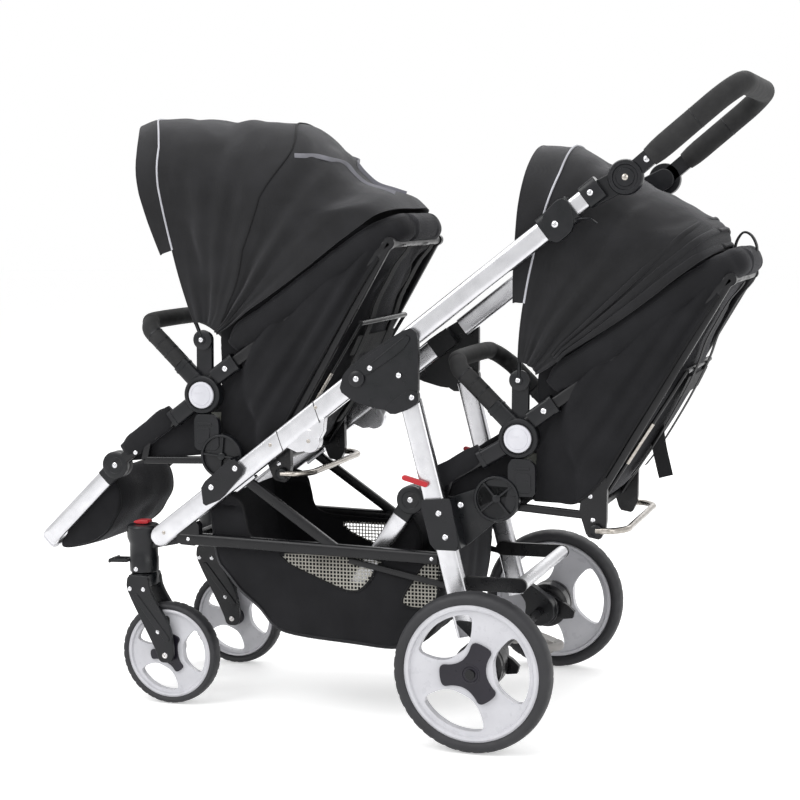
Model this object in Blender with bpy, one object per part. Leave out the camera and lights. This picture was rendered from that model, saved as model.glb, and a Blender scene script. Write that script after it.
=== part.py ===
"""Double stroller with two seats in line, modelled at its real size.

The side view is laid out from the rear axle: X grows towards the handle, Z is the height over the
floor and Y is measured from the middle plane. At the end the whole model is moved along X, so that
the origin is on the floor under its middle. Left is -Y.
"""
import bmesh
import bpy
import math
from mathutils import Matrix, Vector

# Clearances
GAP = 0.0003

# Wheels
REAR_TYRE_R = 0.130
REAR_TYRE_DEEP = 0.020
REAR_RIM_R = REAR_TYRE_R - REAR_TYRE_DEEP
REAR_TYRE_HALF = 0.0194
REAR_WHEEL_Y = 0.279
FRONT_TYRE_R = 0.0902
FRONT_TYRE_DEEP = 0.0125
FRONT_RIM_R = FRONT_TYRE_R - FRONT_TYRE_DEEP
FRONT_TYRE_HALF = 0.015
TYRE_SEGMENTS = 26
AXLE_R = 0.008
FRONT_AXLE_R = 0.005
SPOKE_SPAN = math.radians(52)
SPOKE_TURN = math.radians(66)
REAR_HUB_R = 0.030
FRONT_HUB_R = 0.018
RIM_WALL_SHARE = 0.13

# Casters
SWIVEL_X = -0.640
CASTER_Y = 0.145
TRAIL = 0.0486
HOUSING_R = 0.029
HOUSING_LOW = 0.232
HOUSING_TOP = 0.318
STEM_R = 0.006
CROWN_HIGH = 0.022
FORK_PLATE = 0.008
FORK_PLATE_WIDTH = 0.026
LOCK_REACH = 0.034
LOCK_THICK = 0.007

# Main frame tubes
TUBE_Y = 0.166
TUBE_WIDE = 0.020
TUBE_HIGH = 0.036
UPPER_HIGH = 0.034
TUBE_ANGLE = math.atan(0.7605)
TUBE_END = Vector((-0.595, 0.302))
TUBE_CHAMFER = 0.003
EAR_ALONG = 0.330
EAR_R = 0.020
EAR_DROP = 0.031

# Fold bracket and fold
FOLD_ALONG = 0.5755
BRACKET_START = 0.500
PLATE_THICK = 0.010
CUP_TOP_SPAN = math.radians(62)
CUP_LOW_SPAN = math.radians(28)
CUP_STEPS = 6
BOSS_R = 0.013
BOSS_PROUD = 0.004
FOLD_LEVER_LENGTH = 0.036

# Handle
UPPER_TUBE_END = 0.868
CLAMP_LENGTH = 0.056
CLAMP_THICK = 0.005
STEM_WALL = 0.002
STEM_INSERT = 0.150
STEM_BARE = 0.022
HINGE_X = 0.225
HINGE_Z = 0.907
HINGE_R = 0.028
HANDLE_REACH = 0.2256
HANDLE_ANGLE = math.radians(39.3)
GRIP_R = 0.0165
HANDLE_CORNER = 0.055

# Rear legs and rails
LEG_TOP = Vector((-0.137, 0.557))
LEG_SLOPE = -0.0415 / 0.17
LEG_WIDE = 0.035
LEG_TOP_R = 0.012
AXLE_BOSS_R = 0.030
RAIL_HIGH = 0.021
RAIL_FRONT = Vector((-0.540, 0.300))
RAIL_DROP = 0.013
BRACE_WIDE = 0.018
BRACE_TOP_X = -0.430
BRACE_FOOT_X = -0.268
LEG_PLATE_TOP = 0.386
LEG_PLATE_LOW = 0.304
CROSS_TUBE_R = 0.011
REAR_BAR_X = 0.045
REAR_BAR_Z = 0.245
DRUM_R = 0.040
DRUM_INNER_Y = 0.205
PEDAL_X = 0.060
PEDAL_Z = 0.110
PEDAL_R = 0.022

# Seats
SEAT_HUBS = {"front": Vector((-0.519, 0.548)), "rear": Vector((0.042, 0.488))}
SEAT_LEAN = {"front": math.radians(3.0), "rear": math.radians(-3.0)}
CANOPY_OPEN = {"front": math.radians(108), "rear": math.radians(80)}
FOOTREST_DROP = {"front": math.radians(44), "rear": math.radians(56)}
HUB_R = 0.033
HUB_OUTER_Y = 0.151
BUTTON_R = 0.0230
BUTTON_DEPTH = 0.0075
BUTTON_PROUD = 0.0030
BUTTON_TRAVEL = 0.003
FRAME_INNER_Y = 0.128
FRAME_OUTER_Y = 0.140
BAR_WIDE = 0.020
SLIM_BAR = 0.013
EAR_WIDE = 0.030
LAYER_STEP = 0.00025
FOOT_HINGE = Vector((-0.183, -0.120))
FOOT_DISC_R = 0.024
BACK_TOP = Vector((0.340, 0.258))
BACK_SWELL_LOW = Vector((0.240, 0.057))
BACK_SWELL_HIGH = Vector((0.274, 0.150))
LOWER_BACK = Vector((0.118, -0.118))
HOOP_BOLT = Vector((0.1355, -0.140))
RAIL_START = Vector((-0.125, -0.112))
CROSS_ROD_R = 0.007
BUCKET_WALL = 0.018
CUSHION_THICK = 0.038
FOOTREST_LENGTH = 0.212
FOOTREST_WIDE = 0.031
FOOTREST_THICK = 0.014
FOOTREST_CORNER = 0.022
PAD_DEEP = 0.070
HOOP_REACH = 0.047
HOOP_R = 0.005
BUMPER_ROOT = Vector((-0.042, 0.053))
BUMPER_CORNER = Vector((-0.092, 0.103))
BUMPER_FRONT = Vector((-0.117, 0.124))
BUMPER_BEND = 0.045
BUMPER_R = 0.0150
BUMPER_Y = 0.1365
SOCKET_WIDE = 0.030
SOCKET_LONG = 0.045

# Canopy
CANOPY_PIVOT = Vector((0.002, 0.095))
BOW_SIDE_Y = 0.143
BOW_TOP_R = 0.386
BOW_CORNER = 0.095
BOW_ROD_R = 0.0035
BOW_DISC_R = 0.017
CLOTH = 0.004
CANOPY_BACK = math.radians(27)
VALANCE_SPAN = math.radians(12)
BACK_RISE = 0.036
BACK_CORNER = 0.028
BACK_RISE_SPAN = math.radians(20)
VALANCE_LOW_R = 0.165
CANOPY_LOW_R = 0.030

# Seat adaptors
ADAPTOR_INNER_Y = 0.1405
ADAPTOR_OUTER_Y = 0.152
COLUMN_WIDE = 0.046
COLUMN_LONG = 0.062
FAN_R = 0.036

# Basket
BASKET_WALL = 0.004
BASKET_FRONT = -0.512
BASKET_LOW = 0.124
BASKET_REAR_TOP = 0.284
BASKET_MOUTH = -0.330


# Building blocks

def shared_material(name, colour, roughness, metallic=0.0):
    material = bpy.data.materials.new(name)
    material.use_nodes = True
    shader = material.node_tree.nodes["Principled BSDF"]
    shader.inputs["Base Color"].default_value = (*colour, 1.0)
    shader.inputs["Roughness"].default_value = roughness
    shader.inputs["Metallic"].default_value = metallic
    material.diffuse_color = (*colour, 1.0)
    return material


def solid_from(vertices, faces):
    """One temporary object from vertices and faces, with its normals pointing out."""
    mesh = bpy.data.meshes.new("solid")
    mesh.from_pydata([tuple(v) for v in vertices], [], faces)
    form = bmesh.new()
    form.from_mesh(mesh)
    bmesh.ops.recalc_face_normals(form, faces=form.faces)
    form.to_mesh(mesh)
    form.free()
    solid = bpy.data.objects.new("solid", mesh)
    bpy.context.scene.collection.objects.link(solid)
    return solid


def rings_to_solid(rings, closed=False):
    """Skin over rings of equal length, capped at both ends or closed onto the first ring."""
    count = len(rings[0])
    vertices = [point for ring in rings for point in ring]
    faces = []
    last = len(rings) if closed else len(rings) - 1
    for row in range(last):
        here = row * count
        there = ((row + 1) % len(rings)) * count
        for k in range(count):
            after = (k + 1) % count
            faces.append((here + k, here + after, there + after, there + k))
    if not closed:
        faces.append(tuple(range(count)))
        faces.append(tuple(range((len(rings) - 1) * count, len(rings) * count)))
    return solid_from(vertices, faces)


def inset(outline, amount):
    """The outline, given anticlockwise in X and Z, moved inwards by an amount."""
    result = []
    count = len(outline)
    for k in range(count):
        before = Vector(outline[k - 1])
        here = Vector(outline[k])
        after = Vector(outline[(k + 1) % count])
        first = (here - before).normalized()
        second = (after - here).normalized()
        normal_1 = Vector((-first.y, first.x))
        normal_2 = Vector((-second.y, second.x))
        bisector = normal_1 + normal_2
        if bisector.length < 1e-6:
            bisector = normal_1.copy()
        bisector.normalize()
        reach = amount / max(0.35, bisector.dot(normal_1))
        result.append(here + bisector * reach)
    return result


def area_of(outline):
    total = 0.0
    for k, here in enumerate(outline):
        after = outline[(k + 1) % len(outline)]
        total += here[0] * after[1] - after[0] * here[1]
    return total / 2


def prism(outline, y_from, y_to, chamfer=0.0):
    """A side-view outline (X, Z) extruded from one Y to another, with chamfered rims."""
    outline = [Vector(point) for point in outline]
    if area_of(outline) < 0:
        outline.reverse()
    low, high = min(y_from, y_to), max(y_from, y_to)
    if chamfer:
        inner = inset(outline, chamfer)
        levels = [(inner, low), (outline, low + chamfer), (outline, high - chamfer), (inner, high)]
    else:
        levels = [(outline, low), (outline, high)]
    rings = [[Vector((p.x, y, p.y)) for p in shape] for shape, y in levels]
    return rings_to_solid(rings)


def circle(centre, radius, segments=14, turn=0.0):
    points = []
    for k in range(segments):
        angle = turn + math.tau * k / segments
        points.append(Vector((centre[0] + radius * math.cos(angle), centre[1] + radius * math.sin(angle))))
    return points


def bar(start, end, width, round_start=False, round_end=False, steps=6):
    """The side-view outline of a straight bar, with square or half-round ends."""
    start, end = Vector(start), Vector(end)
    along = (end - start).normalized()
    across = Vector((-along.y, along.x))
    points = []
    for centre, heading, rounded in ((start, -along, round_start), (end, along, round_end)):
        side = across if heading.dot(along) < 0 else -across
        if rounded:
            for k in range(steps + 1):
                angle = math.pi * k / steps
                points.append(centre + side * (width / 2 * math.cos(angle)) + heading * (width / 2 * math.sin(angle)))
        else:
            points.append(centre + side * (width / 2))
            points.append(centre - side * (width / 2))
    return points


def lathe(profile, centre, axis="Y", segments=16, ring=False, turn=0.0):
    """A profile of (radius, height along the axis) turned round an axis through centre."""
    rows = []
    for radius, height in profile:
        row = []
        for k in range(segments):
            angle = turn + math.tau * k / segments
            a, b = radius * math.cos(angle), radius * math.sin(angle)
            if axis == "Y":
                row.append(Vector((centre[0] + a, centre[1] + height, centre[2] + b)))
            else:
                row.append(Vector((centre[0] + a, centre[1] + b, centre[2] + height)))
        rows.append(row)
    return rings_to_solid(rows, closed=ring)


def rounded_path(corners, radius, steps=4):
    """A path through corner points whose corners are arcs."""
    path = [Vector(corners[0])]
    for k in range(1, len(corners) - 1):
        before, here, after = Vector(corners[k - 1]), Vector(corners[k]), Vector(corners[k + 1])
        first = (before - here).normalized()
        second = (after - here).normalized()
        half = first.angle(second) / 2
        cut = min(radius / math.tan(half), 0.49 * (before - here).length, 0.49 * (after - here).length)
        bend = cut * math.tan(half)
        middle = here + (first + second).normalized() * (bend / math.sin(half))
        start = here + first * cut - middle
        end = here + second * cut - middle
        whole = start.angle(end)
        for step in range(steps + 1):
            part = step / steps
            point = (start * math.sin((1 - part) * whole) + end * math.sin(part * whole)) / math.sin(whole)
            path.append(middle + point)
    path.append(Vector(corners[-1]))
    return path


def sweep(path, normal, half_normal, half_side, sides=10):
    """A flat or round tube along a path that lies in the plane with the given normal."""
    normal = Vector(normal).normalized()
    half_normal = half_normal / math.cos(math.pi / sides)
    half_side = half_side / math.cos(math.pi / sides)
    rings = []
    for k, here in enumerate(path):
        before = (here - path[k - 1]).normalized() if k else None
        after = (path[k + 1] - here).normalized() if k < len(path) - 1 else None
        if before is None:
            before = after
        if after is None:
            after = before
        tangent = (before + after).normalized()
        side = normal.cross(tangent).normalized()
        stretch = 1 / max(0.5, tangent.dot(before))
        ring = []
        for step in range(sides):
            angle = math.tau * (step + 0.5) / sides
            ring.append(here + normal * (half_normal * math.sin(angle)) + side * (half_side * stretch * math.cos(angle)))
        rings.append(ring)
    return rings_to_solid(rings)


def combine(base, others, operation="UNION"):
    """Boolean of a base solid with others, which are used up."""
    for other in others:
        step = base.modifiers.new("combine", "BOOLEAN")
        step.operation = operation
        step.object = other
        bpy.context.view_layer.update()
        depsgraph = bpy.context.evaluated_depsgraph_get()
        mesh = bpy.data.meshes.new_from_object(base.evaluated_get(depsgraph))
        base.modifiers.clear()
        old = base.data
        base.data = mesh
        bpy.data.meshes.remove(old)
        used = other.data
        bpy.data.objects.remove(other)
        bpy.data.meshes.remove(used)
    return base


def pivot_empty(name, x, y, z):
    empty = bpy.data.objects.new(name, None)
    bpy.context.scene.collection.objects.link(empty)
    empty.location = (x, y, z)
    empty.parent = STROLLER
    return empty


def finish(name, solid, material, parent=None):
    """Name a solid, give it its material and hang it from its joint's empty."""
    solid.name = name
    solid.data.name = name
    solid.data.materials.clear()
    solid.data.materials.append(material)
    form = bmesh.new()
    form.from_mesh(solid.data)
    bmesh.ops.remove_doubles(form, verts=form.verts, dist=0.000002)
    bmesh.ops.recalc_face_normals(form, faces=form.faces)
    if parent is not None:
        bmesh.ops.translate(form, verts=form.verts, vec=-parent.location)
    form.to_mesh(solid.data)
    form.free()
    solid.data.shade_smooth()
    solid.data.set_sharp_from_angle(angle=math.radians(35))
    solid.parent = parent or STROLLER
    return solid


# Places along the main tube

def on_tube(along, across=0.0):
    """A side-view point at a length along the main tube's middle line, and above it."""
    direction = Vector((math.cos(TUBE_ANGLE), math.sin(TUBE_ANGLE)))
    up = Vector((-direction.y, direction.x))
    return TUBE_END + direction * along + up * across


def under_tube_z(x):
    """Height of the main tube's lower face at an X."""
    return TUBE_END.y + (x - TUBE_END.x) * math.tan(TUBE_ANGLE) - TUBE_HIGH / 2 / math.cos(TUBE_ANGLE)


def over_tube_z(x):
    return under_tube_z(x) + TUBE_HIGH / math.cos(TUBE_ANGLE)


def leg_x(z):
    """X of the rear leg's middle line at a height."""
    return LEG_TOP.x + (z - LEG_TOP.y) * LEG_SLOPE


LEG_EDGE = LEG_WIDE / 2 * math.sqrt(1 + LEG_SLOPE * LEG_SLOPE)
TUBE_INNER = TUBE_Y - TUBE_WIDE / 2
TUBE_OUTER = TUBE_Y + TUBE_WIDE / 2
BASKET_HALF = TUBE_INNER - GAP
FOLD_PIVOT = on_tube(FOLD_ALONG)


def side_prism(side, outline, y_from, y_to, chamfer=0.0):
    return prism(outline, side * y_from, side * y_to, chamfer)


# Wheels

def wheel_turn(segments):
    """Turns a wheel's facets so that one is flat on the floor."""
    return -math.pi / 2 + math.pi / segments


def tyre(name, x, y, radius, rim_radius, half, parent):
    outer = radius / math.cos(math.pi / TYRE_SEGMENTS)
    bead = rim_radius + GAP
    shoulder = radius - bead
    profile = [
        (outer, -0.45 * half),
        (outer, 0.45 * half),
        (outer - 0.22 * shoulder, 0.88 * half),
        (outer - 0.55 * shoulder, half),
        (bead, 0.72 * half),
        (bead, -0.72 * half),
        (outer - 0.55 * shoulder, -half),
        (outer - 0.22 * shoulder, -0.88 * half),
    ]
    solid = lathe(profile, (x, y, radius), segments=TYRE_SEGMENTS, ring=True, turn=wheel_turn(TYRE_SEGMENTS))
    return finish(name, solid, RUBBER, parent)


def rim(name, x, y, axle_z, rim_radius, half, hub_radius, bore, parent):
    """A rim ring with three wide spokes, a hub and an axle bore."""
    wall = RIM_WALL_SHARE * rim_radius
    turn = wheel_turn(TYRE_SEGMENTS)
    ring = lathe(
        [(rim_radius, -0.72 * half), (rim_radius, 0.72 * half), (rim_radius - wall, 0.55 * half),
         (rim_radius - wall, -0.55 * half)],
        (x, y, axle_z), segments=TYRE_SEGMENTS, ring=True, turn=turn)
    hub = lathe([(hub_radius, -0.95 * half), (hub_radius, 0.95 * half)], (x, y, axle_z))
    spokes = []
    inner, outer = 0.7 * hub_radius, rim_radius - 0.5 * wall
    for k in range(3):
        middle = SPOKE_TURN + math.tau * k / 3
        outline = []
        for radius, spread in ((inner, 0.9), (outer, SPOKE_SPAN / 2)):
            steps = [-1, 1] if radius == inner else [1, 0.5, 0, -0.5, -1]
            for step in steps:
                angle = middle + step * spread
                outline.append((x + radius * math.cos(angle), axle_z + radius * math.sin(angle)))
        spokes.append(prism(outline, y - 0.42 * half, y + 0.42 * half))
    solid = combine(ring, [hub] + spokes)
    hole = lathe([(bore, -2 * half), (bore, 2 * half)], (x, y, axle_z), segments=16)
    solid = combine(solid, [hole], "DIFFERENCE")
    return finish(name, solid, RIM_PLASTIC, parent)


def rear_wheels():
    for side, word in SIDES:
        y = side * REAR_WHEEL_Y
        hinge = pivot_empty(f"rear_wheel_{word}_axis", 0.0, y, REAR_TYRE_R)
        tyre(f"rear_tyre_{word}", 0.0, y, REAR_TYRE_R, REAR_RIM_R, REAR_TYRE_HALF, hinge)
        rim(f"rear_rim_{word}", 0.0, y, REAR_TYRE_R, REAR_RIM_R, REAR_TYRE_HALF, REAR_HUB_R,
            AXLE_R + GAP, hinge)


def casters():
    axle_x = SWIVEL_X + TRAIL
    wheel_inner = FRONT_TYRE_HALF + 0.005
    for side, word in SIDES:
        y = side * CASTER_Y
        swivel = pivot_empty(f"caster_{word}_axis", SWIVEL_X, y, HOUSING_LOW)
        crown_top = HOUSING_LOW - GAP
        crown = lathe([(0.021, -CROWN_HIGH), (0.024, -0.003), (0.022, 0.0)], (SWIVEL_X, y, crown_top), axis="Z")
        stem = lathe([(STEM_R, -0.004), (STEM_R, 0.060)], (SWIVEL_X, y, crown_top), axis="Z", segments=16)
        outline = [
            (SWIVEL_X - 0.018, crown_top - 0.001),
            (SWIVEL_X - 0.022, crown_top - CROWN_HIGH),
            (axle_x - 0.017, FRONT_TYRE_R + 0.005),
            (axle_x - 0.010, FRONT_TYRE_R - 0.014),
            (axle_x + 0.010, FRONT_TYRE_R - 0.014),
            (axle_x + 0.016, FRONT_TYRE_R + 0.004),
            (axle_x + 0.010, FRONT_TYRE_R + 0.050),
            (SWIVEL_X + 0.020, crown_top - CROWN_HIGH),
            (SWIVEL_X + 0.018, crown_top - 0.001),
        ]
        plates = [prism(outline, y + s * wheel_inner, y + s * (wheel_inner + FORK_PLATE), 0.002) for s in (-1, 1)]
        reach = wheel_inner + FORK_PLATE
        bridge = prism(
            [(SWIVEL_X - 0.020, crown_top - CROWN_HIGH), (SWIVEL_X + 0.020, crown_top - CROWN_HIGH),
             (SWIVEL_X + 0.018, crown_top - 0.0015), (SWIVEL_X - 0.018, crown_top - 0.0015)],
            y - reach + 0.001, y + reach - 0.001)
        axle = lathe([(FRONT_AXLE_R, -reach - 0.003), (FRONT_AXLE_R, reach + 0.003)],
                     (axle_x, y, FRONT_TYRE_R), segments=16)
        fork = combine(bridge, plates + [crown, stem, axle])
        finish(f"caster_fork_{word}", fork, BLACK_PLASTIC, swivel)
        hinge = pivot_empty(f"front_wheel_{word}_axis", axle_x, y, FRONT_TYRE_R)
        tyre(f"front_tyre_{word}", axle_x, y, FRONT_TYRE_R, FRONT_RIM_R, FRONT_TYRE_HALF, hinge)
        rim(f"front_rim_{word}", axle_x, y, FRONT_TYRE_R, FRONT_RIM_R, FRONT_TYRE_HALF, FRONT_HUB_R,
            FRONT_AXLE_R + GAP, hinge)


def caster_housings():
    for side, word in SIDES:
        y = side * CASTER_Y
        body = lathe([(HOUSING_R - 0.006, HOUSING_LOW), (HOUSING_R - 0.003, HOUSING_LOW + 0.012),
                      (HOUSING_R - 0.003, HOUSING_TOP - 0.030), (HOUSING_R, HOUSING_TOP - 0.022),
                      (HOUSING_R, HOUSING_TOP - 0.004), (HOUSING_R - 0.004, HOUSING_TOP)],
                     (SWIVEL_X, y, 0.0), axis="Z")
        arm = side_prism(
            side,
            [(SWIVEL_X, HOUSING_TOP - 0.044), (SWIVEL_X + 0.070, HOUSING_TOP - 0.030),
             (SWIVEL_X + 0.094, HOUSING_TOP + 0.010), (SWIVEL_X + 0.060, HOUSING_TOP + 0.004),
             (SWIVEL_X, HOUSING_TOP - 0.006)],
            0.138, TUBE_INNER - GAP, 0.002)
        bore = lathe([(STEM_R + GAP, HOUSING_LOW - 0.02), (STEM_R + GAP, HOUSING_LOW + 0.064)],
                     (SWIVEL_X, y, 0.0), axis="Z", segments=16)
        housing = combine(combine(body, [arm]), [bore], "DIFFERENCE")
        finish(f"caster_housing_{word}", housing, BLACK_PLASTIC)

        tab_axis = pivot_empty(f"release_tab_{word}_axis", SWIVEL_X + 0.010, y, HOUSING_TOP + 0.0045)
        tab_low = HOUSING_TOP + GAP
        tab = prism(
            [(SWIVEL_X - 0.014, tab_low + 0.001), (SWIVEL_X - 0.011, tab_low), (SWIVEL_X + 0.0105, tab_low),
             (SWIVEL_X + 0.0142, tab_low + 0.0042), (SWIVEL_X + 0.0105, tab_low + 0.0078),
             (SWIVEL_X - 0.014, tab_low + 0.0065)],
            y - 0.009, y + 0.009, 0.001)
        finish(f"release_tab_{word}", tab, RED_PLASTIC, tab_axis)

        half = LOCK_THICK / 2
        pivot_x = SWIVEL_X - HOUSING_R + 0.003 - GAP - half
        lock_z = HOUSING_LOW + 0.020
        lock_axis = pivot_empty(f"swivel_lock_{word}_axis", pivot_x, y, lock_z)
        lock = prism(bar((pivot_x - LOCK_REACH, lock_z), (pivot_x, lock_z), LOCK_THICK, True, True),
                     y - 0.012, y + 0.012, 0.001)
        finish(f"swivel_lock_{word}", lock, BLACK_PLASTIC, lock_axis)


# Frame

def main_tubes():
    for side, word in SIDES:
        bracket_at = BRACKET_START - GAP
        outline = bar(on_tube(0.0), on_tube(bracket_at), TUBE_HIGH, round_start=True)
        tube = side_prism(side, outline, TUBE_INNER, TUBE_OUTER, TUBE_CHAMFER)
        ear_outline = circle(on_tube(EAR_ALONG, -EAR_DROP), EAR_R, 16)
        ear = side_prism(side, ear_outline, TUBE_INNER + 0.001, TUBE_OUTER - 0.001, 0.002)
        web = side_prism(
            side,
            [on_tube(EAR_ALONG - 0.040, -0.010), on_tube(EAR_ALONG - 0.022, -EAR_DROP - 0.012),
             on_tube(EAR_ALONG + 0.022, -EAR_DROP - 0.012), on_tube(EAR_ALONG + 0.052, -0.010)],
            TUBE_INNER + 0.0015, TUBE_OUTER - 0.0015)
        finish(f"main_tube_{word}", combine(tube, [web, ear]), ALUMINIUM)


def fold_brackets():
    """A plate outside the tubes, and a block between them that the lower tube ends on."""
    plate_inner = TUBE_OUTER + GAP
    for side, word in SIDES:
        plate_outline = [
            on_tube(BRACKET_START - 0.044, 0.020),
            on_tube(BRACKET_START + 0.010, 0.021),
            on_tube(FOLD_ALONG + 0.016, 0.012),
            on_tube(FOLD_ALONG + 0.022, -0.006),
            (LEG_TOP.x + 0.020, LEG_TOP.y - 0.006),
            (LEG_TOP.x - 0.004, LEG_TOP.y - 0.020),
            (LEG_TOP.x - 0.046, LEG_TOP.y - 0.022),
            on_tube(BRACKET_START - 0.060, -0.026),
            on_tube(BRACKET_START - 0.068, 0.002),
        ]
        plate = side_prism(side, plate_outline, plate_inner, plate_inner + PLATE_THICK, 0.002)
        boss_at = on_tube(BRACKET_START - 0.020, -0.018)
        boss = side_prism(side, circle(boss_at, BOSS_R, 16), plate_inner + PLATE_THICK - 0.003,
                          plate_inner + PLATE_THICK + BOSS_PROUD)
        cup = UPPER_HIGH / 2 + 2 * GAP
        block_outline = [on_tube(BRACKET_START, TUBE_HIGH / 2 - 0.001)]
        step = (CUP_TOP_SPAN + CUP_LOW_SPAN) / CUP_STEPS
        for k in range(CUP_STEPS + 1):
            angle = TUBE_ANGLE + math.pi - CUP_TOP_SPAN + step * k
            block_outline.append(FOLD_PIVOT + Vector((math.cos(angle), math.sin(angle))) * cup / math.cos(step / 2))
        block_outline.append(on_tube(BRACKET_START, -TUBE_HIGH / 2 + 0.001))
        block = side_prism(side, block_outline, TUBE_INNER, plate_inner + 0.004)
        finish(f"fold_bracket_{word}", combine(plate, [block, boss]), BLACK_PLASTIC)


def upper_tubes():
    """Upper tubes turn about the fold pivot, and the handle's stems slide in them."""
    for side, word in SIDES:
        axis = pivot_empty(f"upper_tube_{word}_axis", FOLD_PIVOT.x, side * TUBE_Y, FOLD_PIVOT.y)
        outline = bar(FOLD_PIVOT, on_tube(UPPER_TUBE_END), UPPER_HIGH, round_start=True, steps=8)
        tube = side_prism(side, outline, TUBE_INNER, TUBE_OUTER, TUBE_CHAMFER)
        clamp = side_prism(
            side, bar(on_tube(UPPER_TUBE_END - 0.006), on_tube(UPPER_TUBE_END + CLAMP_LENGTH),
                      UPPER_HIGH + 2 * CLAMP_THICK),
            TUBE_INNER, TUBE_OUTER + CLAMP_THICK, 0.003)
        hollow_high = UPPER_HIGH - 2 * STEM_WALL + 2 * GAP
        hollow = side_prism(
            side, bar(on_tube(UPPER_TUBE_END + CLAMP_LENGTH - STEM_INSERT - 0.004),
                      on_tube(UPPER_TUBE_END + CLAMP_LENGTH + 0.01), hollow_high),
            TUBE_INNER + STEM_WALL - GAP, TUBE_OUTER - STEM_WALL + GAP)
        solid = combine(combine(tube, [clamp]), [hollow], "DIFFERENCE")
        finish(f"upper_tube_{word}", solid, ALUMINIUM, axis)


def handle_stems():
    mouth = UPPER_TUBE_END + CLAMP_LENGTH
    hinge = Vector((HINGE_X, HINGE_Z))
    for side, word in SIDES:
        start = on_tube(mouth - STEM_INSERT)
        slim = UPPER_HIGH - 2 * STEM_WALL
        tube = side_prism(side, bar(start, on_tube(mouth + STEM_BARE + 0.010), slim),
                          TUBE_INNER + STEM_WALL, TUBE_OUTER - STEM_WALL, 0.0015)
        socket = side_prism(side, bar(on_tube(mouth + STEM_BARE), hinge, UPPER_HIGH + 0.004, round_end=True),
                            TUBE_INNER, TUBE_Y - GAP / 2, 0.002)
        sleeve = side_prism(side, bar(on_tube(mouth + STEM_BARE), on_tube(mouth + STEM_BARE + 0.030),
                                      UPPER_HIGH + 0.004),
                            TUBE_INNER, TUBE_OUTER + 0.002, 0.002)
        finish(f"handle_stem_{word}", combine(tube, [socket, sleeve]), ALUMINIUM)


def handle_bar():
    """The grip bends across at the top and turns at two discs beside the stems' ends."""
    axis = pivot_empty("handle_axis", HINGE_X, 0.0, HINGE_Z)
    heading = Vector((math.cos(HANDLE_ANGLE), 0.0, math.sin(HANDLE_ANGLE)))
    hinge = Vector((HINGE_X, 0.0, HINGE_Z))
    arm_y = TUBE_Y + 0.006
    corners = []
    for side in (-1, 1):
        root = hinge + heading * (HINGE_R + 0.012) + Vector((0.0, side * arm_y, 0.0))
        corner = hinge + heading * HANDLE_REACH + Vector((0.0, side * arm_y, 0.0))
        corners += [root, corner] if side < 0 else [corner, root]
    path = rounded_path(corners, HANDLE_CORNER)
    normal = Vector((-heading.z, 0.0, heading.x))
    grip = sweep(path, normal, GRIP_R, GRIP_R, sides=8)
    parts = []
    for side in (-1, 1):
        centre = (HINGE_X, HINGE_Z)
        parts.append(prism(circle(centre, HINGE_R), side * (TUBE_Y + GAP / 2), side * (TUBE_OUTER + 0.008), 0.002))
        reach = Vector(centre) + Vector((heading.x, heading.z)) * (HINGE_R + 0.030)
        parts.append(prism(bar(centre, reach, 0.026), side * (TUBE_Y + GAP / 2), side * (TUBE_OUTER + 0.005), 0.002))
    finish("handle_bar", combine(grip, parts), BLACK_PLASTIC, axis)


def rear_legs():
    axle = Vector((0.0, REAR_TYRE_R))
    for side, word in SIDES:
        low = Vector((leg_x(REAR_TYRE_R + 0.026), REAR_TYRE_R + 0.026))
        top = Vector((leg_x(LEG_TOP.y - 0.030), LEG_TOP.y - 0.030))
        outline = bar(low, top, LEG_WIDE)
        leg = side_prism(side, outline, TUBE_INNER, TUBE_OUTER, TUBE_CHAMFER)
        tongue = side_prism(side, bar(top + Vector((0.004, -0.016)), LEG_TOP, 2 * LEG_TOP_R, round_end=True),
                            TUBE_INNER, TUBE_OUTER, 0.002)
        foot = side_prism(side, bar(low + Vector((-0.002, 0.004)), axle, 2 * AXLE_BOSS_R * 0.8, round_end=True),
                          TUBE_INNER, TUBE_OUTER, 0.002)
        boss = side_prism(side, circle(axle, AXLE_BOSS_R), TUBE_INNER, TUBE_OUTER + 0.012, 0.002)
        bore = lathe([(AXLE_R + GAP, -0.1), (AXLE_R + GAP, 0.1)], (0.0, side * TUBE_Y, REAR_TYRE_R), segments=16)
        solid = combine(combine(leg, [tongue, foot, boss]), [bore], "DIFFERENCE")
        finish(f"rear_leg_{word}", solid, ALUMINIUM)


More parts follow.
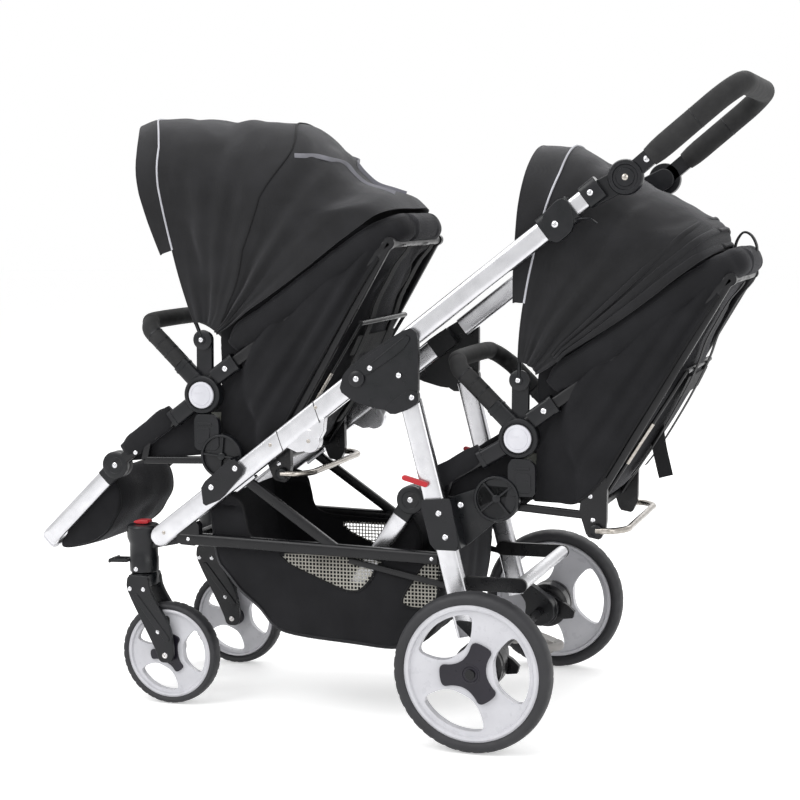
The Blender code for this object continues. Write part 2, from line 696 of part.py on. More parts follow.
def side_rails():
    """A level rail from under the front tube to the leg, with a diagonal brace up to the tube."""
    for side, word in SIDES:
        slope = -RAIL_DROP / (leg_x(0.29) - RAIL_FRONT.x)
        rear_top_z = RAIL_FRONT.y - RAIL_DROP + RAIL_HIGH / 2
        rear_low_z = rear_top_z - RAIL_HIGH
        front = RAIL_FRONT.x - 0.014
        outline = [
            (front, RAIL_FRONT.y - RAIL_HIGH / 2),
            (leg_x(rear_low_z) - LEG_EDGE - GAP, rear_low_z),
            (leg_x(rear_top_z) - LEG_EDGE - GAP, rear_top_z),
            (front, RAIL_FRONT.y + RAIL_HIGH / 2),
        ]
        rail = side_prism(side, outline, TUBE_INNER, TUBE_OUTER - 0.001, 0.002)
        seat_x = RAIL_FRONT.x + 0.012
        ear = side_prism(
            side,
            [(front, RAIL_FRONT.y), (seat_x, RAIL_FRONT.y),
             (seat_x, under_tube_z(seat_x) - 2 * GAP), (front, under_tube_z(front) - 2 * GAP)],
            TUBE_INNER + 0.002, TUBE_OUTER - 0.002)
        foot = Vector((BRACE_FOOT_X, RAIL_FRONT.y + slope * (BRACE_FOOT_X - RAIL_FRONT.x)))
        left_x = BRACE_TOP_X - BRACE_WIDE / 2
        right_x = BRACE_TOP_X + BRACE_WIDE / 2 + 0.006
        half = BRACE_WIDE / 2 + 0.004
        brace = side_prism(
            side,
            [(left_x, under_tube_z(left_x) - 2 * GAP), (foot.x - half, foot.y), (foot.x + half, foot.y),
             (right_x, under_tube_z(right_x) - 2 * GAP)],
            TUBE_Y - 0.006, TUBE_Y + 0.006)
        finish(f"side_rail_{word}", combine(rail, [ear, brace]), BLACK_METAL)


def cross_tube(x, z, radius, half_length, segments=14):
    return lathe([(radius, -half_length), (radius, half_length)], (x, 0.0, z), segments=segments)


def cross_parts():
    front = cross_tube(RAIL_FRONT.x + 0.004, RAIL_FRONT.y, RAIL_HIGH / 2 - 0.001, TUBE_INNER - GAP)
    finish("front_cross_tube", front, BLACK_METAL)

    plates = []
    for side in (-1, 1):
        reach = Vector((leg_x(REAR_BAR_Z) - 0.006, REAR_BAR_Z))
        plates.append(side_prism(side, bar(reach, (REAR_BAR_X, REAR_BAR_Z), 0.024, True, True),
                                 TUBE_INNER - 0.008, TUBE_INNER - GAP, 0.0015))
    rear = cross_tube(REAR_BAR_X, REAR_BAR_Z, CROSS_TUBE_R, TUBE_INNER - 0.004)
    finish("rear_cross_tube", combine(rear, plates), ALUMINIUM)

    axle = cross_tube(0.0, REAR_TYRE_R, AXLE_R, REAR_WHEEL_Y + 0.021, 16)
    drums = []
    for side in (-1, 1):
        outer = REAR_WHEEL_Y - REAR_TYRE_HALF - 0.004
        middle = side * (DRUM_INNER_Y + outer) / 2
        half = (outer - DRUM_INNER_Y) / 2
        drums.append(lathe([(DRUM_R * 0.8, -half), (DRUM_R, -half + 0.008), (DRUM_R, half - 0.006),
                            (DRUM_R * 0.85, half)] if side > 0 else
                           [(DRUM_R * 0.85, -half), (DRUM_R, -half + 0.006), (DRUM_R, half - 0.008),
                            (DRUM_R * 0.8, half)],
                           (0.0, middle, REAR_TYRE_R)))
    finish("rear_axle", combine(axle, drums), BLACK_METAL)

    pedal_axis = pivot_empty("brake_pedal_axis", 0.0, 0.0, REAR_TYRE_R)
    arm = prism(bar((0.0, REAR_TYRE_R), (PEDAL_X, PEDAL_Z), 0.022), -0.014, 0.014, 0.002)
    sleeve = lathe([(0.017, -0.020), (0.017, 0.020)], (0.0, 0.0, REAR_TYRE_R))
    pad = lathe([(PEDAL_R - 0.003, -0.006), (PEDAL_R, -0.003), (PEDAL_R, 0.004), (PEDAL_R - 0.004, 0.008)],
                (PEDAL_X, 0.0, PEDAL_Z), axis="Z")
    hole = cross_tube(0.0, REAR_TYRE_R, AXLE_R + GAP, 0.05, 16)
    pedal = combine(combine(arm, [sleeve, pad]), [hole], "DIFFERENCE")
    finish("brake_pedal", pedal, GREY_PLASTIC, pedal_axis)


def fold_levers():
    for side, word in SIDES:
        z = LEG_PLATE_TOP + 0.030
        pivot = Vector((leg_x(z) - 0.004, z - 0.004))
        tip = pivot + Vector((-FOLD_LEVER_LENGTH, 0.010))
        y_in, y_out = TUBE_OUTER + GAP, TUBE_OUTER + 0.008
        axis = pivot_empty(f"fold_lever_{word}_axis", pivot.x, side * (y_in + y_out) / 2, pivot.y)
        lever = side_prism(side, bar(tip, pivot, 0.009, True, True), y_in, y_out, 0.001)
        finish(f"fold_lever_{word}", lever, RED_PLASTIC, axis)


def basket():
    """A sagging cloth basket between the rails, open at the top."""
    front, low, rear = BASKET_FRONT, BASKET_LOW, leg_x(BASKET_REAR_TOP) - LEG_EDGE + 0.004
    rim_z = BASKET_REAR_TOP
    outer = [
        (front, RAIL_FRONT.y + 0.066), (front + 0.006, RAIL_FRONT.y + 0.020), (front + 0.012, low + 0.138),
        (front + 0.034, low + 0.108), (front + 0.056, low + 0.082), (front + 0.090, low + 0.056),
        (front + 0.120, low + 0.018), (front + 0.166, low + 0.010), (front + 0.262, low + 0.004),
        (rear - 0.084, low), (rear - 0.026, low + 0.036), (rear - 0.006, low + 0.096), (rear, rim_z),
        (BASKET_MOUTH, rim_z + 0.004), (BASKET_MOUTH - 0.075, RAIL_FRONT.y), (front + 0.072, RAIL_FRONT.y + 0.064),
    ]
    shell = prism(outer, -BASKET_HALF, BASKET_HALF, 0.006)
    inner = inset(outer, BASKET_WALL)[1:12]
    above = 0.1
    first = Vector(outer[0]) + Vector((BASKET_WALL, above))
    cutter_outline = [first] + inner + [Vector((rear - BASKET_WALL, rim_z + above))]
    cutter = prism(cutter_outline, -BASKET_HALF + BASKET_WALL, BASKET_HALF - BASKET_WALL)
    finish("basket", combine(shell, [cutter], "DIFFERENCE"), FABRIC)


# Seats

def turned(point, angle):
    return Vector((point[0] * math.cos(angle) - point[1] * math.sin(angle),
                   point[0] * math.sin(angle) + point[1] * math.cos(angle)))


def seat_frame(seat, hub, base, axis):
    """Side bars, lower plates and cross rods of one seat, with a hub disc on each side."""
    foot = hub + base(FOOT_HINGE)
    top = hub + BACK_TOP
    low_back = hub + base(LOWER_BACK)
    hoop = hub + base(HOOP_BOLT)
    rail = hub + base(RAIL_START)
    pivot = hub + CANOPY_PIVOT
    solids = []
    for side in (-1, 1):

        def layer(outline, step, outer=None):
            high = outer or FRAME_OUTER_Y - step * LAYER_STEP
            return side_prism(side, outline, FRAME_INNER_Y + step * LAYER_STEP, high)

        bumper_way = (BUMPER_CORNER - BUMPER_ROOT).normalized()
        mouth = hub + BUMPER_ROOT
        plate = [
            low_back + Vector((-0.014, 0.012)), hoop + Vector((-0.016, -0.012)), hoop + Vector((0.006, -0.016)),
            hoop + Vector((0.016, 0.004)), low_back + Vector((0.034, 0.062)), low_back + Vector((0.012, 0.072))]
        whole = combine(
            layer(bar(foot, hub, BAR_WIDE), 6),
            [layer(bar(hub, top, BAR_WIDE, round_end=True), 1),
             layer(circle(foot, FOOT_DISC_R), 2),
             layer(bar(rail, low_back, SLIM_BAR), 3),
             layer(bar(rail, hub + base(FOOT_HINGE * 0.62), SLIM_BAR), 4),
             layer(bar(low_back, top, SLIM_BAR), 5),
             layer(plate, 0),
             layer(bar(hub, pivot, EAR_WIDE, round_end=True), 7, BOW_SIDE_Y - BOW_ROD_R - GAP),
             layer(bar(mouth - bumper_way * SOCKET_LONG, mouth, SOCKET_WIDE), 8, HUB_OUTER_Y - 0.001),
             side_prism(side, circle(hub, HUB_R, 16), FRAME_INNER_Y + 9 * LAYER_STEP, HUB_OUTER_Y, 0.002)])
        pocket = side_prism(side, circle(hub, BUTTON_R + 2 * GAP), HUB_OUTER_Y - BUTTON_DEPTH, HUB_OUTER_Y + 0.01)
        solids.append(combine(whole, [pocket], "DIFFERENCE"))
    reach = FRAME_INNER_Y + 0.006
    for place in (top, rail, low_back):
        solids.append(cross_tube(place.x, place.y, CROSS_ROD_R if place != top else 0.008, reach, 10))
    frame = combine(solids[0], [solids[2]])
    frame = combine(frame, [solids[1], solids[3], solids[4]])
    finish(f"{seat}_seat_frame", frame, BLACK_METAL, axis)


def seat_bucket(seat, hub, base, axis):
    """Padded seat and back with side wings, as one padded shell between the side bars."""
    half = FRAME_INNER_Y - 2 * GAP
    rail = hub + base(RAIL_START)
    low = hub + base(LOWER_BACK)
    lift = CROSS_ROD_R + 2 * GAP
    top = hub + BACK_TOP
    nose = rail + Vector((-0.022, lift + 0.002))
    heel = low + Vector((-0.020, lift + 0.004))
    head = top + Vector((-0.018, -0.006))
    along_back = (head - low).normalized()
    into_seat = Vector((-along_back.y, along_back.x))
    outline = [
        nose, heel, low + Vector((0.020, lift + 0.006)), hub + BACK_SWELL_LOW, hub + BACK_SWELL_HIGH, head,
        head + into_seat * CUSHION_THICK,
        hub + Vector((0.190, 0.150)),
        hub + Vector((0.030, 0.020)),
        nose + Vector((0.010, CUSHION_THICK + 0.020)),
        nose + Vector((-0.002, CUSHION_THICK - 0.006)),
    ]
    shell = prism(outline, -half, half, 0.006)
    seat_line = nose + Vector((0.0, CUSHION_THICK))
    corner = heel + Vector((-0.004, CUSHION_THICK))
    cutter_outline = [
        seat_line + Vector((-0.05, -0.004)),
        seat_line + Vector((0.020, 0.002)),
        (seat_line + corner) / 2 + Vector((0.0, 0.002)),
        corner,
        (corner + head) / 2 + into_seat * (CUSHION_THICK * 0.55),
        head + into_seat * (CUSHION_THICK * 0.80),
        head + into_seat * (CUSHION_THICK * 0.9) + along_back * 0.06,
        hub + Vector((0.05, 0.35)),
        seat_line + Vector((-0.05, 0.20)),
    ]
    cutter = prism(cutter_outline, -half + BUCKET_WALL, half - BUCKET_WALL)
    finish(f"{seat}_seat_cushion", combine(shell, [cutter], "DIFFERENCE"), FABRIC, axis)


def bow_section(offset, low_radius, back=0.0, steps=4):
    """Points (radius, y) of the canopy bow from one side over the top to the other, moved out by an offset."""
    side_y = BOW_SIDE_Y + offset
    top_r = BOW_TOP_R + offset + back * BACK_RISE
    corner = BOW_CORNER + back * (BACK_CORNER - BOW_CORNER) + offset
    near = [(low_radius, side_y), ((low_radius + top_r - corner) / 2, side_y)]
    for k in range(steps + 1):
        angle = math.pi / 2 * k / steps
        near.append((top_r - corner + corner * math.sin(angle), side_y - corner + corner * math.cos(angle)))
    far = [(radius, -y) for radius, y in reversed(near)]
    return near + far


def canopy_point(pivot, angle, radius, y):
    return Vector((pivot.x + radius * math.cos(angle), y, pivot.y + radius * math.sin(angle)))


def canopy(seat, hub):
    """A bow on the canopy's pivot, and the cloth from the seat's back over it to the valance."""
    pivot = hub + CANOPY_PIVOT
    opened = CANOPY_OPEN[seat]
    bow_axis = pivot_empty(f"{seat}_canopy_axis", pivot.x, 0.0, pivot.y)
    bow_path = [canopy_point(pivot, opened, r, y) for r, y in bow_section(0.0, 0.010)]
    direction = Vector((math.cos(opened), 0.0, math.sin(opened)))
    normal = direction.cross(Vector((0.0, 1.0, 0.0)))
    rod = sweep(bow_path, normal, 0.006, BOW_ROD_R, sides=6)
    discs = [prism(circle(pivot, BOW_DISC_R, 16), s * (BOW_SIDE_Y - BOW_ROD_R), s * (BOW_SIDE_Y + BOW_ROD_R))
             for s in (-1, 1)]
    finish(f"{seat}_canopy_bow", combine(rod, discs), BLACK_PLASTIC, bow_axis)

    rows = 9
    valance_rows = 2
    rings = []
    for k in range(rows + valance_rows + 1):
        if k <= rows:
            angle = CANOPY_BACK + (opened - CANOPY_BACK) * k / rows
            low = CANOPY_LOW_R
        else:
            part = (k - rows) / valance_rows
            angle = opened + VALANCE_SPAN * part
            low = CANOPY_LOW_R + (VALANCE_LOW_R - CANOPY_LOW_R) * part
        back = max(0.0, 1 - (angle - CANOPY_BACK) / BACK_RISE_SPAN)
        outer = [canopy_point(pivot, angle, r, y) for r, y in bow_section(2 * CLOTH, low, back)]
        inner = [canopy_point(pivot, angle, r, y) for r, y in bow_section(CLOTH, low, back)]
        rings.append(outer + inner[::-1])
    finish(f"{seat}_canopy", rings_to_solid(rings), FABRIC, bow_axis)


def bumper_bar(seat, hub, axis):
    """The bar across the seat's front, pushed into a socket at each hub."""
    outward = (BUMPER_CORNER - BUMPER_ROOT).normalized()
    start = BUMPER_ROOT + outward * GAP
    corners = []
    for side in (-1, 1):
        points = [(start, side * BUMPER_Y), (BUMPER_CORNER, side * BUMPER_Y), (BUMPER_FRONT, side * BUMPER_Y)]
        points = points if side < 0 else points[::-1]
        corners += [Vector((hub.x + p.x, y, hub.y + p.y)) for p, y in points]
    path = [corners[0]]
    arm_dir = (corners[1] - corners[0]).normalized()
    path.append(corners[1] - arm_dir * 0.012)
    front = [corners[1] + (corners[2] - corners[1]) * 0.35, corners[2], corners[3],
             corners[4] + (corners[3] - corners[4]) * 0.35]
    path += rounded_path(front, BUMPER_BEND, 4)
    path.append(corners[4] + (corners[5] - corners[4]).normalized() * 0.012)
    path.append(corners[5])
    rings = []
    for k, here in enumerate(path):
        if k == 0:
            tangent = arm_dir
        elif k == len(path) - 1:
            tangent = (path[-1] - path[-2]).normalized()
        else:
            tangent = ((path[k] - path[k - 1]).normalized() + (path[k + 1] - path[k]).normalized()).normalized()
        up = Vector((0.0, 0.0, 1.0)) - tangent * tangent.z
        up.normalize()
        side_way = up.cross(tangent)
        rings.append([here + up * (BUMPER_R * math.sin(a)) + side_way * (BUMPER_R * math.cos(a))
                      for a in [math.tau * (step + 0.5) / 8 for step in range(8)]])
    finish(f"{seat}_bumper_bar", rings_to_solid(rings), BLACK_FOAM, axis)


def footrest(seat, hub, base):
    """A flat tube bent into a U, with a disc at each hinge, and the calf pad it carries."""
    hinge = hub + base(FOOT_HINGE)
    drop = FOOTREST_DROP[seat]
    heading = Vector((-math.cos(drop), 0.0, -math.sin(drop)))
    normal = Vector((-math.sin(drop), 0.0, math.cos(drop)))
    axis = pivot_empty(f"{seat}_footrest_axis", hinge.x, 0.0, hinge.y)
    arm_y = FRAME_INNER_Y - GAP - FOOTREST_THICK / 2
    root = Vector((hinge.x, 0.0, hinge.y))
    corners = []
    for side in (-1, 1):
        start = root + heading * 0.012 + Vector((0.0, side * arm_y, 0.0))
        corner = root + heading * FOOTREST_LENGTH + Vector((0.0, side * arm_y, 0.0))
        corners += [start, corner] if side < 0 else [corner, start]
    path = rounded_path(corners, FOOTREST_CORNER)
    tube = sweep(path, normal, FOOTREST_WIDE / 2, FOOTREST_THICK / 2, sides=8)
    discs = [prism(circle(hinge, FOOT_DISC_R), side * (arm_y - FOOTREST_THICK / 2),
                   side * (arm_y + FOOTREST_THICK / 2), 0.0015) for side in (-1, 1)]
    finish(f"{seat}_footrest", combine(tube, discs), ALUMINIUM, axis)

    half = arm_y - FOOTREST_THICK / 2 - 2 * GAP
    along = Vector((heading.x, heading.z))
    up = Vector((normal.x, normal.z))
    last = FOOTREST_LENGTH - FOOTREST_THICK / 2 - 4 * GAP
    short = FOOTREST_LENGTH - FOOTREST_CORNER - FOOTREST_THICK
    under = FOOTREST_WIDE / 2 + 2 * GAP
    outline = [
        hinge + along * 0.030 + up * 0.012,
        hinge + along * 0.110 + up * 0.014,
        hinge + along * short + up * 0.010,
        hinge + along * (short + 0.002) - up * under,
        hinge + along * (last - 0.002) - up * under,
        hinge + along * last - up * (under + 0.010),
        hinge + along * (last - 0.060) - up * (PAD_DEEP * 0.92),
        hinge + along * (last - 0.100) - up * PAD_DEEP,
        hinge + along * 0.060 - up * (PAD_DEEP * 0.82),
        hinge + along * 0.034 - up * (PAD_DEEP * 0.46),
    ]
    finish(f"{seat}_calf_pad", prism(outline, -half, half, 0.008), FABRIC, axis)


def recline_hoop(seat, hub, base):
    bolt = hub + base(HOOP_BOLT)
    hoop_y = FRAME_OUTER_Y + GAP + HOOP_R
    axis = pivot_empty(f"{seat}_recline_hoop_axis", bolt.x, 0.0, bolt.y)
    corners = []
    for side in (-1, 1):
        start = Vector((bolt.x, side * hoop_y, bolt.y))
        bend = start + Vector((HOOP_REACH * 0.45, 0.0, 0.0))
        inner = Vector((bolt.x + HOOP_REACH, side * (hoop_y - 0.026), bolt.y))
        points = [start, bend, inner]
        corners += points if side < 0 else points[::-1]
    rod = sweep(rounded_path(corners, 0.012, 2), (0.0, 0.0, 1.0), HOOP_R, HOOP_R, sides=6)
    discs = [prism(circle(bolt, 0.010, 10), side * (hoop_y - HOOP_R), side * (hoop_y + HOOP_R - 0.001))
             for side in (-1, 1)]
    finish(f"{seat}_recline_hoop", combine(rod, discs), STEEL, axis)


def hub_buttons(seat, hub):
    for side, word in SIDES:
        inner = HUB_OUTER_Y - BUTTON_DEPTH + BUTTON_TRAVEL + 2 * GAP
        outer = HUB_OUTER_Y + BUTTON_PROUD
        axis = pivot_empty(f"{seat}_hub_button_{word}_axis", hub.x, side * inner, hub.y)
        button = side_prism(side, circle(hub, BUTTON_R, 20), inner, outer, 0.0012)
        finish(f"{seat}_hub_button_{word}", button, WHITE_PLASTIC, axis)


def front_adaptors():
    """Columns that carry the front seat's hubs, held on the outer face of the main tubes."""
    hub = SEAT_HUBS["front"]
    top = hub.y - HUB_R - GAP
    half = COLUMN_WIDE / 2
    x = hub.x + 0.008
    fan = Vector((hub.x + 0.036, hub.y - 0.105))
    for side, word in SIDES:
        column = side_prism(
            side,
            [(x - 0.018, top), (x - half, top - 0.012), (x - half, top - COLUMN_LONG + 0.014),
             (x - half + 0.014, top - COLUMN_LONG), (x + half, top - COLUMN_LONG), (x + half, top - 0.012),
             (x + 0.010, top)],
            ADAPTOR_INNER_Y, ADAPTOR_OUTER_Y, 0.002)
        disc = side_prism(side, circle(fan, FAN_R, 18), ADAPTOR_INNER_Y, ADAPTOR_OUTER_Y + 0.003, 0.002)
        left, right = fan.x - 0.026, fan.x + 0.034
        shelf = side_prism(
            side,
            [(left, over_tube_z(left) + 2 * GAP), (right, over_tube_z(right) + 2 * GAP),
             (fan.x + 0.020, fan.y + 0.026), (left, fan.y + 0.012)],
            ADAPTOR_INNER_Y + 0.001, TUBE_OUTER + 0.006)
        clamp = side_prism(
            side,
            [(left, over_tube_z(left) + 0.006), (left + 0.004, over_tube_z(left) - 0.030),
             (fan.x + 0.010, over_tube_z(fan.x) - 0.036), (right + 0.022, over_tube_z(right) - 0.012),
             (right, over_tube_z(right) + 0.010)],
            TUBE_OUTER + GAP, TUBE_OUTER + 0.0072, 0.0015)
        finish(f"front_adaptor_{word}", combine(disc, [column, shelf, clamp]), BLACK_PLASTIC)


def rear_adaptors():
    """Columns for the rear seat's hubs, reaching forward as ribbed fans to plates on the legs."""
    hub = SEAT_HUBS["rear"]
    top = hub.y - HUB_R - GAP
    half = COLUMN_WIDE / 2
    x = hub.x + 0.006
    fan = Vector((hub.x - 0.036, hub.y - 0.100))
    for side, word in SIDES:
        column = side_prism(
            side,
            [(x - 0.016, top), (x - half, top - 0.012), (x - half, top - COLUMN_LONG),
             (x + half, top - COLUMN_LONG), (x + half, top - 0.012), (x + 0.012, top)],
            ADAPTOR_INNER_Y, ADAPTOR_OUTER_Y, 0.002)
        disc = side_prism(side, circle(fan, FAN_R, 18), ADAPTOR_INNER_Y, ADAPTOR_OUTER_Y + 0.003, 0.002)
        behind_top = leg_x(LEG_PLATE_TOP) + LEG_EDGE + 2 * GAP
        behind_low = leg_x(LEG_PLATE_LOW) + LEG_EDGE + 2 * GAP
        link = side_prism(
            side,
            [(behind_top, LEG_PLATE_TOP), (behind_low, LEG_PLATE_LOW), (behind_low + 0.012, LEG_PLATE_LOW + 0.004),
             (fan.x + 0.012, fan.y - 0.026), (fan.x + 0.020, fan.y + 0.020), (fan.x - 0.016, fan.y + 0.022)],
            ADAPTOR_INNER_Y + 0.001, TUBE_OUTER + 0.006)
        ahead_top = leg_x(LEG_PLATE_TOP) - LEG_EDGE - 0.004
        ahead_low = leg_x(LEG_PLATE_LOW) - LEG_EDGE - 0.004
        plate = side_prism(
            side,
            [(ahead_top, LEG_PLATE_TOP), (ahead_low, LEG_PLATE_LOW), (behind_low + 0.010, LEG_PLATE_LOW),
             (behind_top + 0.026, LEG_PLATE_TOP + 0.004), (behind_top, LEG_PLATE_TOP + 0.004)],
            TUBE_OUTER + GAP, TUBE_OUTER + 0.0072, 0.0015)
        finish(f"rear_adaptor_{word}", combine(disc, [column, link, plate]), BLACK_PLASTIC)


def seats():
    for seat, hub in SEAT_HUBS.items():
        lean = SEAT_LEAN[seat]

        def base(point, lean=lean):
            return turned(point, lean)

        axis = pivot_empty(f"{seat}_seat_axis", hub.x, 0.0, hub.y)
        seat_frame(seat, hub, base, axis)
        seat_bucket(seat, hub, base, axis)
        canopy(seat, hub)
        bumper_bar(seat, hub, axis)
        footrest(seat, hub, base)
        recline_hoop(seat, hub, base)
        hub_buttons(seat, hub)


def centre_on_floor():
    """Move the model so that its origin is on the floor under the middle of its box."""
    bpy.context.view_layer.update()
    reach = [(solid.matrix_world @ vertex.co).x
             for solid in bpy.data.objects if solid.type == "MESH" for vertex in solid.data.vertices]
    STROLLER.location.x = -(min(reach) + max(reach)) / 2


for old_object in list(bpy.data.objects):
    bpy.data.objects.remove(old_object, do_unlink=True)

SIDES = ((-1, "left"), (1, "right"))
ALUMINIUM = shared_material("satin_aluminium", (0.72, 0.72, 0.74), 0.32, 1.0)
STEEL = shared_material("steel_wire", (0.55, 0.53, 0.50), 0.30, 1.0)
BLACK_METAL = shared_material("black_paint", (0.015, 0.015, 0.017), 0.45)
BLACK_PLASTIC = shared_material("black_plastic", (0.020, 0.020, 0.023), 0.50)
BLACK_FOAM = shared_material("black_foam", (0.012, 0.012, 0.013), 0.85)
GREY_PLASTIC = shared_material("grey_plastic", (0.45, 0.44, 0.43), 0.50)
WHITE_PLASTIC = shared_material("white_plastic", (0.72, 0.72, 0.75), 0.40)
RED_PLASTIC = shared_material("red_plastic", (0.52, 0.012, 0.018), 0.40)
RIM_PLASTIC = shared_material("rim_plastic", (0.62, 0.62, 0.66), 0.40)
RUBBER = shared_material("tyre_rubber", (0.028, 0.028, 0.032), 0.75)
FABRIC = shared_material("black_fabric", (0.018, 0.018, 0.019), 0.90)

STROLLER = bpy.data.objects.new("stroller_origin", None)
bpy.context.scene.collection.objects.link(STROLLER)

rear_wheels()
casters()
caster_housings()
main_tubes()
fold_brackets()
upper_tubes()
handle_stems()
handle_bar()
rear_legs()
side_rails()
cross_parts()
fold_levers()
basket()
seats()
front_adaptors()
rear_adaptors()
centre_on_floor()
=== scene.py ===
"""Looks of the double stroller: finishes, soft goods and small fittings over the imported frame.

Side-view numbers are measured from the rear axle's middle: X grows towards the handle, Z is the
height over the floor. Left is -Y and faces the camera. Seat numbers are measured from the seat's hub.
"""
import bmesh
import bpy
import math
from mathutils import Matrix, Vector, noise


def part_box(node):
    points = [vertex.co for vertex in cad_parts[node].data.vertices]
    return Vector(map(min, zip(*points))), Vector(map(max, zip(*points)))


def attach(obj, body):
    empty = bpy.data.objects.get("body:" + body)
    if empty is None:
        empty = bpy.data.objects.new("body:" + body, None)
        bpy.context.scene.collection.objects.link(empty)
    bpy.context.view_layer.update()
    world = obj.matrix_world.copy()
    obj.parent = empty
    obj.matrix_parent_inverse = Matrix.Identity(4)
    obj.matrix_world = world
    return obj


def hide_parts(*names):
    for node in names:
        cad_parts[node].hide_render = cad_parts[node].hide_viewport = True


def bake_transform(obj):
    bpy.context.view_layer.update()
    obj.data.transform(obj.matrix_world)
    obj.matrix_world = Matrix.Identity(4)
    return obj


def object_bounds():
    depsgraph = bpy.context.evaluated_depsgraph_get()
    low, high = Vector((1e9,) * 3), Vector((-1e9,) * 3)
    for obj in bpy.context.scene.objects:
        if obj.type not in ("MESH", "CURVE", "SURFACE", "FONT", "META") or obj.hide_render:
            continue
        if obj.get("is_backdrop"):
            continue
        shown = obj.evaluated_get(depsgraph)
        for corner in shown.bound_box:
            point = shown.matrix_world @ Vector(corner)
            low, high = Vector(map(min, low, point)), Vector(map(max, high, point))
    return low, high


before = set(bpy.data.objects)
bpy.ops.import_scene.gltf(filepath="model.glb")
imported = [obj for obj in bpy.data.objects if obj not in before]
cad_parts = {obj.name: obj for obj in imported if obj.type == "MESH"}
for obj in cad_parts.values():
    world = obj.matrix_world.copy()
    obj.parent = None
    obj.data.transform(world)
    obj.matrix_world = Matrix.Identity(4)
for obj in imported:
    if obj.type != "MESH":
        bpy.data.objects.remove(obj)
CAD_LOW, CAD_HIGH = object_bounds()

# Shared places

AXLE_LOW, AXLE_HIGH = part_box("rear_axle")
AXLE_X = (AXLE_LOW.x + AXLE_HIGH.x) / 2
SIDES = ((-1, "left"), (1, "right"))
TUBE_Y = 0.166
TUBE_ANGLE = math.atan(0.7605)
TUBE_END = (-0.595, 0.302)
FOLD_ALONG = 0.5755
LEG_TOP = (-0.137, 0.557)
LEG_SLOPE = -0.0415 / 0.17
HINGE = (0.225, 0.907)
HANDLE_ANGLE = math.radians(39.3)
SWIVEL_X = -0.640
CASTER_Y = 0.145
CASTER_AXLE = (-0.5914, 0.0902)
AXLE_Z = 0.130
REAR_WHEEL_Y = 0.279
HOUSING_LOW = 0.232
HOUSING_TOP = 0.318
FRAME_Y = 0.134
CANOPY_PIVOT = (0.002, 0.095)
COLUMN_Y = (0.1406, 0.1518)
RAISED_Y = (0.1515, 0.1530)
CLAMP_Y = (0.1763, 0.1832)
FAN_Y = 0.1530
FAN_RADIUS = 0.0385
CUP_Y = 0.1283
SOCKET_Y = 0.1388
CLOTH_Y = 0.1266
CANOPY_Y = 0.1500
BASKET_Y = 0.1553
WINDOW_Y = 0.1535
BINDING_Y = 0.1548
BACK_ROD_Y = 0.119


def at(x, z, y=0.0):
    """A point given from the rear axle, in the model's frame."""
    return Vector((x + AXLE_X, y, z))


def on_tube(along, across=0.0):
    """Side-view point at a length along the main tube's middle line, and above it."""
    c, s = math.cos(TUBE_ANGLE), math.sin(TUBE_ANGLE)
    return (TUBE_END[0] + c * along - s * across, TUBE_END[1] + s * along + c * across)


def leg_x(z):
    return LEG_TOP[0] + (z - LEG_TOP[1]) * LEG_SLOPE


def turned(point, angle):
    c, s = math.cos(angle), math.sin(angle)
    return (point[0] * c - point[1] * s, point[0] * s + point[1] * c)


# Materials

NOISE_LOW, NOISE_HIGH = 0.3, 0.7
EVENLY = (1, 1, 1)


def fill_in(node, **inputs):
    """Sets inputs of a node; a space in an input's name is written as an underscore."""
    for name, value in inputs.items():
        node.inputs[name.replace("_", " ")].default_value = value
    return node


def node_of(tree, kind, **inputs):
    return fill_in(tree.nodes.new(f"ShaderNode{kind}"), **inputs)


def sum_of(tree, first, second, clamped=False):
    add = node_of(tree, "Math")
    add.operation = "ADD"
    add.use_clamp = clamped
    tree.links.new(first, add.inputs[0])
    tree.links.new(second, add.inputs[1])
    return add.outputs["Value"]


def material_of(name, colour, roughness, metallic=0.0, **sockets):
    material = bpy.data.materials.new(name)
    material.use_nodes = True
    fill_in(material.node_tree.nodes["Principled BSDF"], Base_Color=(*colour, 1.0), Roughness=roughness,
            Metallic=metallic, **sockets)
    return material


def object_coordinates(tree, scale):
    coordinates = node_of(tree, "TexCoord")
    mapping = node_of(tree, "Mapping", Scale=scale)
    tree.links.new(coordinates.outputs["Object"], mapping.inputs["Vector"])
    return mapping.outputs["Vector"]


def noise_of(tree, scale, size, detail=3.0):
    texture = node_of(tree, "TexNoise", Scale=size, Detail=detail)
    tree.links.new(object_coordinates(tree, scale), texture.inputs["Vector"])
    return texture.outputs["Fac"]


def range_of(tree, value, low, high):
    """The middle part of the value, stretched to low..high."""
    node = node_of(tree, "MapRange", From_Min=NOISE_LOW, From_Max=NOISE_HIGH, To_Min=low, To_Max=high)
    tree.links.new(value, node.inputs["Value"])
    return node.outputs["Result"]


def shade_of(tree, value, dark, light):
    """The base colour, between a dark and a light one by the value."""
    ramp = node_of(tree, "ValToRGB")
    for stop, place, colour in zip(ramp.color_ramp.elements, (NOISE_LOW, NOISE_HIGH), (dark, light)):
        stop.position = place
        stop.color = (*colour, 1.0)
    tree.links.new(value, ramp.inputs["Fac"])
    tree.links.new(ramp.outputs["Color"], tree.nodes["Principled BSDF"].inputs["Base Color"])


def bump_of(tree, height, strength, distance, under=None):
    bump = node_of(tree, "Bump", Strength=strength, Distance=distance)
    tree.links.new(height, bump.inputs["Height"])
    if under is not None:
        tree.links.new(under, bump.inputs["Normal"])
    tree.links.new(bump.outputs["Normal"], tree.nodes["Principled BSDF"].inputs["Normal"])
    return bump.outputs["Normal"]


